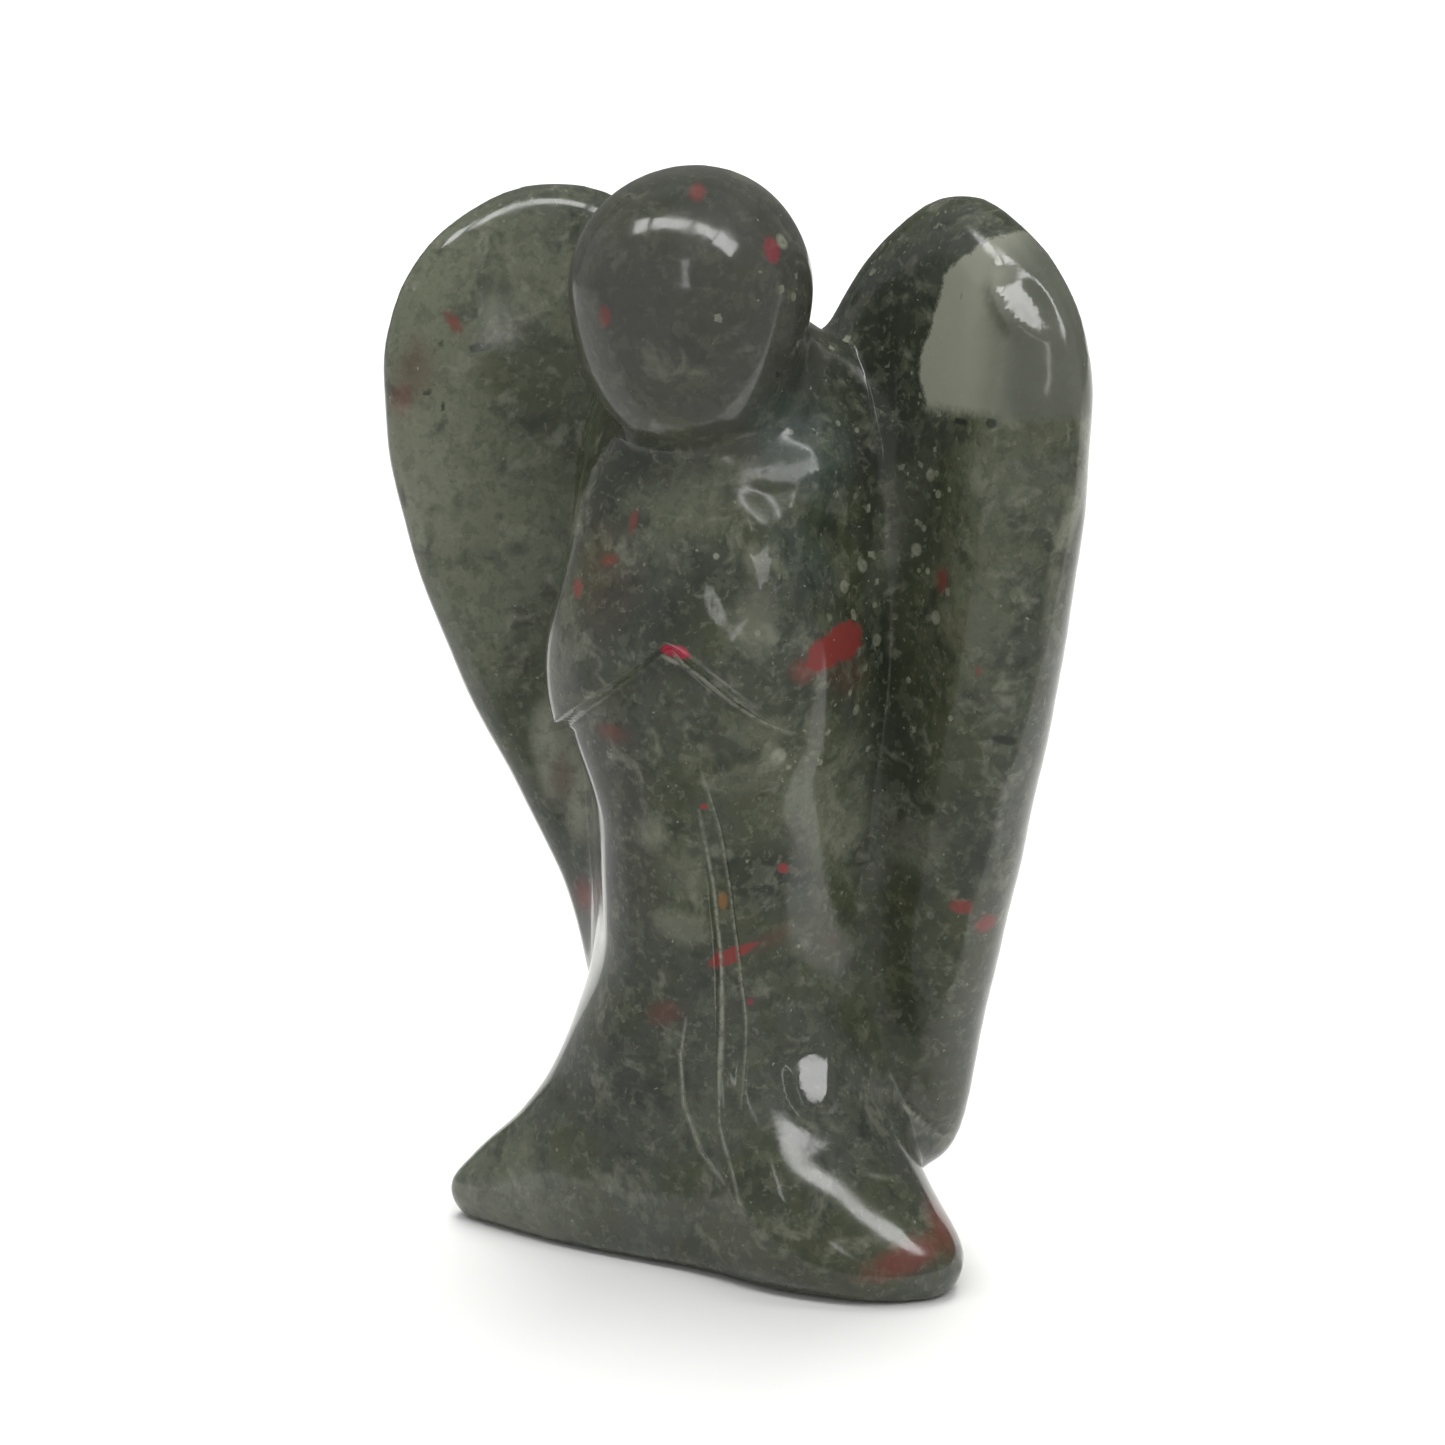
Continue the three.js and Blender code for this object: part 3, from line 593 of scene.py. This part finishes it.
def wing_surface(hand, around=220, up=240):
    """A pillow: at each height a squared oval between the inner and the outer edge, bent so that its
    middle line sweeps forward with the third power of the distance from the spine, with a bell-shaped
    ridge down its front. The height is a cosine of the angle from the lower tip, in which the edges run
    smoothly, so both ends are round."""
    turn = hand * np.linspace(0, 2 * np.pi, around, endpoint=False)[None, :]
    low, high = WINGS[0, 0], WINGS[-1, 0]
    stations = WINGS.copy()
    stations[:, 0] = np.arccos(1 - 2 * (WINGS[:, 0] - low) / (high - low))
    angle = np.linspace(0, np.pi, up)[1:-1, None]
    edges = (3, 4) if hand > 0 else (2, 1)
    inner, outer, thick = (outline(stations, i)(angle) for i in (*edges, 5))
    across = signed_power(np.cos(turn), 2 / WING_SQUARENESS)
    through = signed_power(np.sin(turn), 2 / WING_SQUARENESS)
    x = (inner + outer) / 2 + across * (outer - inner) / 2
    z = low + (1 - np.cos(angle)) / 2 * (high - low) * WING_TALLER[hand > 0]
    z = np.broadcast_to(z, x.shape)
    middle = WING_BACK - (WING_BACK - WING_RIM) * np.abs(x / WING_SPAN) ** WING_SWEEP
    away = x - inner - RIDGE["share"] * (outer - inner)
    ridge = bell(away, np.where(away < 0, RIDGE["inside"], RIDGE["outside"]))
    tips, back = RIDGE["fade"]
    ridge = RIDGE["lift"][hand > 0] * np.sin(angle) ** tips * ridge * np.maximum(0, -through) ** back
    y = middle + through * thick / 2 - ridge
    return np.stack((hand * x, y, z), axis=-1)


def closed_grid(rows):
    """Points and faces of rows that run round the form, closed by a point at each end. A column's next
    neighbour is found by rolling, so the seam is closed too."""
    up, around = rows.shape[:2]
    ends = rows[[0, -1]].mean(axis=1)
    points = np.concatenate((rows.reshape(-1, 3), ends))
    index = np.arange(up * around).reshape(up, around)
    ahead = np.roll(index, -1, axis=1)
    quads = np.stack((index[:-1], ahead[:-1], ahead[1:], index[1:]), axis=-1).reshape(-1, 4)
    low = np.stack((ahead[0], index[0], np.full(around, up * around)), axis=-1)
    high = np.stack((index[-1], ahead[-1], np.full(around, up * around + 1)), axis=-1)
    return points, quads.tolist() + low.tolist() + high.tolist()


def placed(name, data):
    """A new object in the scene."""
    made = bpy.data.objects.new(name, data)
    bpy.context.scene.collection.objects.link(made)
    return made


def merged_form(surfaces, step):
    """One mesh, in millimetres, of the closed surfaces' common outside."""
    points, faces, start = [], [], 0
    for rows in surfaces:
        some, more = closed_grid(rows)
        points.append(some)
        faces += [[corner + start for corner in face] for face in more]
        start += len(some)
    rough = bpy.data.meshes.new("rough_forms")
    rough.from_pydata(np.concatenate(points).tolist(), [], faces)
    holder = placed("rough_forms", rough)
    remesh = holder.modifiers.new("merge", "REMESH")
    remesh.mode = "VOXEL"
    remesh.voxel_size = step
    remesh.adaptivity = 0
    graph = bpy.context.evaluated_depsgraph_get()
    merged = bpy.data.meshes.new_from_object(holder.evaluated_get(graph))
    bpy.data.objects.remove(holder)
    bpy.data.meshes.remove(rough)
    return merged


def points_of(mesh, what="co"):
    values = np.empty(len(mesh.vertices) * 3, np.float32)
    mesh.vertices.foreach_get(what, values)
    return values.reshape(-1, 3).astype(float)


def put_points(mesh, points):
    mesh.vertices.foreach_set("co", points.astype(np.float32).ravel())
    mesh.update()


def neighbour_mean(mesh):
    """A function that gives, for points of the mesh, the mean place of each one's neighbours."""
    edges = np.empty(len(mesh.edges) * 2, np.int32)
    mesh.edges.foreach_get("vertices", edges)
    start, end = edges.reshape(-1, 2).T
    size = len(mesh.vertices)
    count = np.bincount(edges, minlength=size)

    def mean(points):
        sums = [np.bincount(start, axis[end], size) + np.bincount(end, axis[start], size)
                for axis in points.T]
        return np.stack(sums, axis=-1) / count[:, None]

    return mean


def smoothed(mesh, passes):
    """Moves every point halfway to the mean of its neighbours, pass after pass."""
    points, mean = points_of(mesh), neighbour_mean(mesh)
    for _ in range(passes):
        points = (points + mean(points)) / 2
    put_points(mesh, points)


def polished(mesh, passes):
    """Fills inner corners as a polishing wheel leaves them: each pass lifts every point that lies below
    the mean of its neighbours, less around the head, whose crease stays sharp, and less on the front of
    the hem, whose folds stay deep."""
    points, mean = points_of(mesh), neighbour_mean(mesh)
    across, deep, height = points.T
    neck = NECK["kept"] * ease(height, NECK["from"], NECK["full"]) * bell(across, NECK["wide"])
    neck = neck * (1 - ease(deep, NECK["front"], NECK["back"]))
    hem = HEM["kept"] * (1 - ease(height, HEM["full"], HEM["to"]))
    hem = hem * (1 - ease(deep, HEM["front"], HEM["back"]))
    amount = 1 - neck - hem
    for _ in range(passes):
        normals = points_of(mesh, "normal")
        below = ((mean(points) - points) * normals).sum(axis=1)
        points = points + normals * (amount * np.maximum(0, below))[:, None]
        put_points(mesh, points)


def store(mesh, name, values):
    """Gives each point of the mesh its value under a name."""
    field = mesh.attributes.new(name, "FLOAT", "POINT")
    field.data.foreach_set("value", values.astype(np.float32))


def near_lines(points, paths, reach):
    """Which points on the front lie within reach of the paths."""
    near = np.zeros(len(points), bool)
    for path in paths:
        near |= near_path(path, points[:, 0], points[:, 2])[0] < reach
    return near & (points[:, 1] < FRONT_Y)


def near_spots(points, spots, reach):
    """Which points lie within reach of the middles of the marks."""
    near = np.zeros(len(points), bool)
    for spot in spots:
        near |= np.linalg.norm(points - np.array(spot[:3]), axis=1) < reach
    return near


def refined(mesh, near):
    """Halves the edges between the points that are marked as near."""
    shape = bmesh.new()
    shape.from_mesh(mesh)
    edges = [e for e in shape.edges if near[e.verts[0].index] and near[e.verts[1].index]]
    bmesh.ops.subdivide_edges(shape, edges=edges, cuts=1, use_grid_fill=True)
    shape.to_mesh(mesh)
    shape.free()


def flattened(points, front):
    """Brings each flat spot of the front to its plane, and blends that into the round surface around
    it."""
    out = points.copy()
    for x, z, wide, high, turn, right, up, touch_x, touch_z in FLATS:
        across, over = points[:, 0] - x, points[:, 2] - z
        cos, sin = math.cos(math.radians(turn)), math.sin(math.radians(turn))
        away = np.hypot((across * cos - over * sin) / wide, (across * sin + over * cos) / high)
        across, over = points[:, 0] - touch_x, points[:, 2] - touch_z
        far = np.where(front < FRONT_LEAST, np.inf, np.hypot(across, over))
        touch = out[np.argmin(far), 1]
        right, up = math.radians(right), math.radians(up)
        plane = touch + across * math.tan(right) + over * math.tan(up) / math.cos(right)
        share = front * (1 - ease(away, FLAT_FULL, FLAT_END))
        share = share * (np.abs(out[:, 1] - touch) < FLAT_REACH)
        out[:, 1] += share * (plane - out[:, 1])
    return out


def incised(x, z):
    """Depth of the narrow lines, and how frosted their scratched stone is: bells of the distance from
    each path, which fade at its ends."""
    depth = frost = 0
    for path, wide, deep in INCISIONS:
        away, along = near_path(path, x, z)
        fade = arch(along, INCISION_ENDS) ** 0.5
        depth = depth + deep * fade * bell(away, wide)
        frost = np.maximum(frost, fade * bell(away, FROST_WIDTH * wide))
    return depth, frost


def wobble(points, amount, waves=WAVES["count"], seed=WAVES["seed"]):
    """Slow waves in all directions, added up."""
    random = np.random.default_rng(seed)
    direction = random.normal(size=(waves, 3))
    direction /= np.linalg.norm(direction, axis=1)[:, None]
    long = random.uniform(WAVES["shortest"], WAVES["longest"], waves)
    phase = random.uniform(0, 2 * np.pi, waves)
    turn = points @ (direction * (2 * np.pi / long)[:, None]).T + phase
    return amount * np.sin(turn).sum(axis=1) / math.sqrt(waves / 2)


class ANGEL_OT_carve(bpy.types.Operator):
    """Carve the angel: merge its forms, polish them, cut the lines and set it in the frame's box"""

    bl_idname = "angel.carve"
    bl_label = "Carve the angel"

    def execute(self, context):
        sizes = context.scene.angel_carving
        surfaces = [body_surface(), head_surface(sizes), wing_surface(1), wing_surface(-1)]
        mesh = merged_form(surfaces, sizes.grain / MM)
        smoothed(mesh, PASSES_BEFORE)
        polished(mesh, sizes.polish)
        smoothed(mesh, PASSES_AFTER)
        reach = SLEEVE["refined"]
        sleeve_edge = [(SLEEVE["x"] + far, SLEEVE["apex"] - SLEEVE["slope"] * abs(far))
                       for far in (-reach, 0, reach)]
        lines = [path for path, _, _ in INCISIONS]
        refined(mesh, near_lines(points_of(mesh), lines + [sleeve_edge, CHANNEL[0]], LINE_REACH[0]))
        refined(mesh, near_lines(points_of(mesh), lines, LINE_REACH[1]))
        spots = [mark for *_, marks in MARKS for mark in marks if min(mark[3:5]) < SMALL_MARK]
        refined(mesh, near_spots(points_of(mesh), spots + GRAINS, SPOT_REACH[0]))
        small = [grain for grain in GRAINS if grain[3] < SMALL_GRAIN]
        refined(mesh, near_spots(points_of(mesh), small, SPOT_REACH[1]))
        smoothed(mesh, 1)

        points, normals = points_of(mesh), points_of(mesh, "normal")
        front = ease(-normals[:, 1], *FRONT_FACING)
        points += normals * (relief(points[:, 0], points[:, 2]) * front)[:, None]
        put_points(mesh, points)
        smoothed(mesh, 1)
        points, normals = points_of(mesh), points_of(mesh, "normal")
        depth, frost = incised(points[:, 0], points[:, 2])
        points -= normals * (depth * front)[:, None]
        points += normals * wobble(points, sizes.wobble / MM)[:, None]
        points = flattened(points, front)
        store(mesh, "frost", frost * front)
        low, high = (np.array(corner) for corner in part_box(NODE))
        own_low, own_high = points.min(axis=0), points.max(axis=0)
        points = low + (points - own_low) / (own_high - own_low) * (high - low)
        put_points(mesh, points)
        mesh.name = PIECE
        mesh.polygons.foreach_set("use_smooth", np.ones(len(mesh.polygons), bool))
        piece = placed(PIECE, mesh)
        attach(piece, BODY_NAME)
        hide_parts(NODE)
        return {"FINISHED"}


class Weaver:
    """Short calls for building a new material's nodes."""

    def __init__(self, name):
        self.material = bpy.data.materials.new(name)
        self.material.use_nodes = True
        self.tree = self.material.node_tree
        self.tree.nodes.clear()

    def node(self, kind, inputs=(), **settings):
        made = self.tree.nodes.new(kind)
        for name, value in settings.items():
            setattr(made, name, value)
        for socket, value in dict(inputs).items():
            self.feed(made.inputs[socket], value)
        return made

    def feed(self, socket, value):
        if isinstance(value, bpy.types.NodeSocket):
            self.tree.links.new(value, socket)
        else:
            socket.default_value = value

    def math(self, operation, a, b=0.0):
        return self.node("ShaderNodeMath", {0: a, 1: b}, operation=operation).outputs[0]

    def vector(self, operation, a, b=(0, 0, 0), output=0):
        return self.node("ShaderNodeVectorMath", {0: a, 1: b}, operation=operation).outputs[output]

    def finished(self, kind, inputs):
        """The material, with a shader of that kind as its surface."""
        shader = self.node(kind, inputs)
        self.node("ShaderNodeOutputMaterial", {"Surface": shader.outputs[0]})
        return self.material

    def ramp(self, value, low, high, to_low=0.0, to_high=1.0):
        return self.node("ShaderNodeMapRange", {0: value, 1: low, 2: high, 3: to_low, 4: to_high},
                         interpolation_type="SMOOTHSTEP").outputs[0]

    def noise(self, vector, scale, detail, rough=0.55, output="Fac"):
        return self.node("ShaderNodeTexNoise", {
            "Vector": vector, "Scale": scale, "Detail": detail, "Roughness": rough}).outputs[output]

    def shaken(self, vector, scale, reach):
        """The place, moved about by up to half the reach, so that edges drawn with it are uneven."""
        shake = self.vector("SUBTRACT", self.noise(vector, scale, 2, output="Color"), (0.5, 0.5, 0.5))
        return self.vector("ADD", vector, self.vector("MULTIPLY", shake, (reach,) * 3))

    def mix(self, amount, under, over):
        made = self.node("ShaderNodeMix", {0: amount, 6: under, 7: over}, data_type="RGBA")
        return made.outputs[2]

    def stored(self, name):
        """Values that the mesh carries under a name."""
        return self.node("ShaderNodeAttribute", attribute_name=name).outputs["Fac"]

    def specks(self, vector, scale, size, share):
        """Scattered specks: the middles of the cells of a Voronoi pattern, of only a share of them."""
        cells = self.node("ShaderNodeTexVoronoi", {"Vector": vector, "Scale": scale},
                          distance="CHEBYCHEV")
        chosen = self.math("LESS_THAN", self.node(
            "ShaderNodeSeparateColor", {"Color": cells.outputs["Color"]}).outputs[0], share)
        edge = (size * scale * part for part in SPECK_EDGE)
        near = self.ramp(cells.outputs["Distance"], *edge)
        return self.math("MULTIPLY", near, chosen)


def solid_colour(value):
    return (*value, 1.0)


def view_axes(turn=0.0):
    """Across, up and into the photograph's view. The first two are turned clockwise by some degrees."""
    aside, turn = math.radians(VIEW_TURN), math.radians(turn)
    across, up = np.array([math.cos(aside), math.sin(aside), 0]), np.array([0, 0, 1.0])
    into = np.array([-math.sin(aside), math.cos(aside), 0])
    return (math.cos(turn) * across - math.sin(turn) * up,
            math.sin(turn) * across + math.cos(turn) * up, into)


def ellipsoid_distance(points, centre, sizes, turn=0.0):
    """Distance from the centre in units of the half sizes across the photograph's view, into it and
    upwards."""
    across, up, into = view_axes(turn)
    away = points - np.array(centre)
    parts = [away @ way / size for way, size in zip((across, into, up), sizes)]
    return np.linalg.norm(parts, axis=0)


def zone_tints(points, paints):
    """Colour and cover of the zones at each point: ellipsoids in places shaken by slow waves, with
    cover = strength * ease(distance), laid over each other in the table's order."""
    shake = [wobble(points, SHAKE["reach"], SHAKE["count"], seed) for seed in SHAKE["seeds"]]
    shaken = points + np.stack(shake, axis=1)
    tint, clear = np.zeros((len(points), 3)), np.ones(len(points))
    for paint_name, centre, sizes, strength, blur in ZONES:
        distance = ellipsoid_distance(shaken, centre, sizes)
        cover = strength * (1 - ease(distance, 1 - blur, 1 + blur))
        tint = tint * (1 - cover)[:, None] + cover[:, None] * np.array(getattr(paints, paint_name))
        clear = clear * (1 - cover)
    cover = 1 - clear
    return np.column_stack([tint / np.maximum(cover, LEAST_COVER)[:, None], cover])


def mark_distance(points, marks):
    """Distance to the nearest mark, in units of its half sizes."""
    nearest = np.full(len(points), FAR_AWAY)
    for x, y, z, wide, high, turn in marks:
        distance = ellipsoid_distance(points, (x, y, z), (wide, MARK_DEPTH, high), turn)
        nearest = np.minimum(nearest, distance)
    return nearest


def grain_distance(points):
    """Distance to the nearest grain, in units of its half size."""
    nearest = np.full(len(points), FAR_AWAY)
    for x, y, z, size in GRAINS:
        nearest = np.minimum(nearest, np.linalg.norm(points - np.array((x, y, z)), axis=1) / size)
    return nearest


def beside_fracture(points):
    """Distance from the fracture's path as seen from in front, positive on its right."""
    path = np.array(FRACTURE)
    x, z = points[:, 0], points[:, 2]
    away, _ = near_path(FRACTURE, x, z)
    edge = np.interp(-z, -path[:, 1], path[:, 0])
    return np.where(x > edge, away, -away)


def stone_material(paints):
    """Bloodstone: soft green clouds and fine mottling by Object coordinates in millimetres, zones,
    marks and grains by the carving's own attributes, some zones and marks being painted reflection,
    painted highlight and painted shade, and a polish that is not quite even."""
    w = Weaver("polished_bloodstone")

    def tint(name):
        return solid_colour(getattr(paints, name))

    place = w.vector("MULTIPLY", w.node("ShaderNodeTexCoord").outputs["Object"], (1 / MM,) * 3)
    axes = w.node("ShaderNodeSeparateXYZ", {"Vector": place})
    wavy, ragged = w.shaken(place, *WAVY), w.shaken(place, *UNEVEN)
    rag = w.math("SUBTRACT", w.noise(place, *RAG), 0.5)

    clouds = w.noise(wavy, CLOUDS["size"], *PATCHY)
    base = w.mix(w.ramp(clouds, CLOUDS["from"], CLOUDS["full"]), tint("grey_green"), tint("olive"))
    zones = w.node("ShaderNodeAttribute", attribute_name="zones").outputs
    base = w.mix(zones["Alpha"], base, zones["Color"])

    head = w.ramp(w.vector("DISTANCE", place, HEAD_MIDDLE, "Value"), HEAD_EDGE[1], HEAD_EDGE[0])
    for number, (paint_name, waves, *steps, strength, on_head) in enumerate(MOTTLES):
        offset = tuple(number * step for step in MOTTLE_STEP)
        offset = w.vector("ADD", wavy if waves < 1 else ragged, offset)
        patch = w.ramp(w.noise(offset, waves, *PATCHY), *steps, 0, strength)
        patch = w.math("MULTIPLY", patch, w.ramp(head, 0, 1, 1, on_head))
        base = w.mix(patch, base, tint(paint_name))

    # The pale top of the right wing: partly pale stone, partly painted reflection of the overhead
    # light.
    uneven = w.math("MULTIPLY", rag, RAGGED["fracture"])
    beside = w.math("ADD", w.stored("fracture"), uneven)
    above = w.ramp(w.math("ADD", axes.outputs["Z"], uneven), *PALE_AND_SHEEN_TOP["bottom"])
    pale_and_sheen_top = w.math("MULTIPLY", w.ramp(beside, *PALE_AND_SHEEN_TOP["side"], 0, PALE_AND_SHEEN_TOP["cover"]), above)
    greyer = w.ramp(axes.outputs["X"], *PALE_AND_SHEEN_TOP["greys"], 0, PALE_AND_SHEEN_TOP["greyer"])
    base = w.mix(pale_and_sheen_top, base, w.mix(greyer, tint("milk_and_sheen"), tint("grey_green")))
    base = w.mix(w.ramp(w.math("ABSOLUTE", beside), *FRACTURE_LINE), base, tint("deep"))

    for number, (paint_name, strength, blur, _) in enumerate(MARKS):
        uneven = w.math("MULTIPLY", rag, RAGGED["marks"])
        distance = w.math("ADD", w.stored(f"mark_{number}"), uneven)
        base = w.mix(w.ramp(distance, 1 + blur, 1 - blur, 0, strength), base, tint(paint_name))

    distance = w.math("ADD", w.stored("grains"), w.math("MULTIPLY", rag, RAGGED["grains"]))
    grain_tone = w.mix(w.ramp(rag, *GRAIN_TONE), tint("moss"), tint("grain"))
    base = w.mix(w.ramp(distance, *GRAIN_EDGE, 0, GRAIN_COVER), base, grain_tone)
    grainy = w.math("MULTIPLY", w.ramp(axes.outputs["X"], *FINE_GRAINS["from"]),
                    w.ramp(axes.outputs["Z"], *FINE_GRAINS["above"]))
    grainy = w.math("MULTIPLY", grainy, w.ramp(axes.outputs["X"], *FINE_GRAINS["to"], 1, 0))
    for scale, size, few, many in FINE_GRAINS["cells"]:
        specks = w.specks(ragged, scale, size, w.ramp(grainy, 0, 1, few, many))
        base = w.mix(w.math("MULTIPLY", specks, FINE_GRAINS["cover"]), base, grain_tone)

    frost = w.math("MULTIPLY", w.stored("frost"), w.ramp(rag, *FROST_COVER))
    base = w.mix(frost, base, tint("grain"))

    least, most = (part * paints.gloss for part in POLISH["range"])
    rough = w.ramp(w.noise(wavy, *POLISH["noise"]), *POLISH["steps"], least, most)
    rough = w.math("ADD", rough, w.math("MULTIPLY", frost, POLISH["scratched"]))
    spot = w.vector("DISTANCE", place, DULL_SPOT["middle"], "Value")
    duller = w.ramp(spot, DULL_SPOT["full"], DULL_SPOT["reach"], DULL_SPOT["rougher"], 0)
    rough = w.math("ADD", rough, duller)
    ripple = w.node("ShaderNodeBump", {
        "Strength": 1.0, "Distance": POLISH["height"] * MM,
        "Height": w.noise(place, *POLISH["ripples"])})
    return w.finished("ShaderNodeBsdfPrincipled", {
        "Base Color": base, "Roughness": rough, "IOR": QUARTZ_IOR, "Normal": ripple.outputs[0]})


class ANGEL_OT_finish_stone(bpy.types.Operator):
    """Give the carving its polished bloodstone"""

    bl_idname = "angel.finish_stone"
    bl_label = "Finish the stone"

    def execute(self, context):
        paints = context.scene.angel_stone
        mesh = bpy.data.objects[PIECE].data
        points = points_of(mesh) / MM + OWN_MIDDLE
        zones = mesh.attributes.new("zones", "FLOAT_COLOR", "POINT")
        zones.data.foreach_set("color", zone_tints(points, paints).astype(np.float32).ravel())
        store(mesh, "fracture", beside_fracture(points))
        store(mesh, "grains", grain_distance(points))
        for number, (*_, marks) in enumerate(MARKS):
            store(mesh, f"mark_{number}", mark_distance(points, marks))
        mesh.materials.clear()
        mesh.materials.append(stone_material(paints))
        return {"FINISHED"}


def directions(azimuth, elevation, roll):
    """The camera's back, right and up directions for a turn, a height angle and a roll."""
    back = Vector((math.sin(azimuth) * math.cos(elevation), -math.cos(azimuth) * math.cos(elevation),
                   math.sin(elevation)))
    level = Vector((math.cos(azimuth), math.sin(azimuth), 0))
    upright = back.cross(level)
    right = math.cos(roll) * level + math.sin(roll) * upright
    up = math.cos(roll) * upright - math.sin(roll) * level
    return back, right, up


def area_light(name, place, aim, size, radiance):
    """A rectangular lamp. Its power is its radiance times its area times pi."""
    lamp = bpy.data.lights.new(name, "AREA")
    lamp.shape = "RECTANGLE"
    lamp.size, lamp.size_y = size
    lamp.energy = radiance * size[0] * size[1] * math.pi
    holder = placed(name, lamp)
    towards = (Vector(aim) - Vector(place)).normalized()
    holder.rotation_euler = towards.to_track_quat("-Z", "Y").to_euler()
    holder.location = place
    return holder


def reflected_card(name, corners, radiance):
    """A glowing sheet that only mirror reflections show."""
    sheet = bpy.data.meshes.new(name)
    sheet.from_pydata(corners, [], [list(range(len(corners)))])
    glow = {"Color": (1, 1, 1, 1), "Strength": radiance}
    sheet.materials.append(Weaver(name).finished("ShaderNodeEmission", glow))
    card = placed(name, sheet)
    for ray in ("camera", "diffuse", "transmission", "volume_scatter", "shadow"):
        setattr(card, "visible_" + ray, False)


class ANGEL_OT_set_stage(bpy.types.Operator):
    """Add the floor, the lights and the camera"""

    bl_idname = "angel.set_stage"
    bl_label = "Set the stage"

    def execute(self, context):
        settings = context.scene.angel_stage
        scene = context.scene
        scene.view_settings.view_transform = "Standard"

        low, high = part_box(NODE)
        middle = (low + high) / 2 - Vector(OWN_MIDDLE) * MM

        back, right, up = directions(settings.azimuth, settings.elevation, settings.roll)
        aim = Vector((middle.x, middle.y, HALF_HEIGHT * MM))
        aim += settings.aim_right * right + settings.aim_up * up
        camera = bpy.data.cameras.new("camera")
        camera.sensor_fit = "HORIZONTAL"
        camera.sensor_width = SENSOR_WIDTH
        camera.lens = SENSOR_WIDTH * settings.focal / PHOTO_SIZE
        camera.clip_start, camera.clip_end = CLIP_START, CLIP_END
        holder = placed("camera", camera)
        holder.matrix_world = Matrix((
            (right.x, up.x, back.x, 0), (right.y, up.y, back.y, 0), (right.z, up.z, back.z, 0),
            (0, 0, 0, 1)))
        holder.location = aim + settings.distance * back
        scene.camera = holder

        floor = bpy.data.meshes.new("floor")
        width, front, bend, radius, top, steps = FLOOR
        turn = np.linspace(0, np.pi / 2, steps)
        y = np.concatenate(([front], bend + radius * np.sin(turn), [bend + radius]))
        z = np.concatenate(([0.0], radius - radius * np.cos(turn), [top]))
        rows = len(y)
        points = np.concatenate([np.stack((np.full(rows, x), y, z), axis=-1)
                                 for x in (-width / 2, width / 2)])
        index = np.arange(rows - 1)
        faces = np.stack((index, index + rows, index + rows + 1, index + 1), axis=-1)
        floor.from_pydata(points.tolist(), [], faces.tolist())
        floor.polygons.foreach_set("use_smooth", np.ones(len(floor.polygons), bool))
        pale = {"Base Color": solid_colour(settings.floor), "Roughness": FLOOR_ROUGHNESS}
        floor.materials.append(Weaver("pale_floor").finished("ShaderNodeBsdfPrincipled", pale))
        placed("floor", floor)

        world = bpy.data.worlds.new("room")
        world.use_nodes = True
        shade = world.node_tree.nodes["Background"]
        shade.inputs["Color"].default_value = (1, 1, 1, 1)
        shade.inputs["Strength"].default_value = settings.world
        scene.world = world

        head = Vector((0, 0, HEAD_HEIGHT * MM))
        for name, left, right_end, depth in PANES:
            sideways = Vector(((left + right_end) / 2, 0, 0))
            place = head + sideways + Vector((0, WINDOW_Y, WINDOW_HEIGHT))
            area_light(name, place, head + sideways, (right_end - left, depth), settings.window)
        turn, away = math.radians(SLIT["turn"]), SLIT["away"]
        slit = head + Vector((away * math.sin(turn), -away * math.cos(turn), SLIT["above"]))
        area_light("slit", slit, head, SLIT["size"], settings.slit)

        pool = area_light("pool", POOL["place"], POOL["aim"], POOL["size"], 1)
        pool.data.energy = settings.pool
        pool.visible_glossy = False

        for name, corners, radiance in CARDS:
            reflected_card(name, corners, radiance * settings.cards)
        return {"FINISHED"}


class ANGEL_PT_panel(bpy.types.Panel):
    """Lists the steps and the settings"""

    bl_idname = "ANGEL_PT_panel"
    bl_label = "Bloodstone Angel"
    bl_space_type = "VIEW_3D"
    bl_region_type = "UI"
    bl_category = "Bloodstone Angel"

    def draw(self, context):
        for name, (_, step) in GROUPS.items():
            group = getattr(context.scene, name)
            box = self.layout.box()
            for setting in group.__annotations__:
                box.prop(group, setting)
            box.operator(step)


CLASSES = (CarvingSettings, StoneSettings, StageSettings, ANGEL_OT_carve, ANGEL_OT_finish_stone,
           ANGEL_OT_set_stage, ANGEL_PT_panel)
# Each group of settings, and the step that uses it
GROUPS = {
    "angel_carving": (CarvingSettings, "angel.carve"),
    "angel_stone": (StoneSettings, "angel.finish_stone"),
    "angel_stage": (StageSettings, "angel.set_stage"),
}


def register():
    for made in CLASSES:
        bpy.utils.register_class(made)
    for name, (group, _) in GROUPS.items():
        setattr(bpy.types.Scene, name, bpy.props.PointerProperty(type=group))


def unregister():
    for name in GROUPS:
        delattr(bpy.types.Scene, name)
    for made in reversed(CLASSES):
        bpy.utils.unregister_class(made)


def main():
    register()
    bpy.ops.angel.carve()
    bpy.ops.angel.finish_stone()
    bpy.ops.angel.set_stage()


if __name__ == "__main__":
    main()
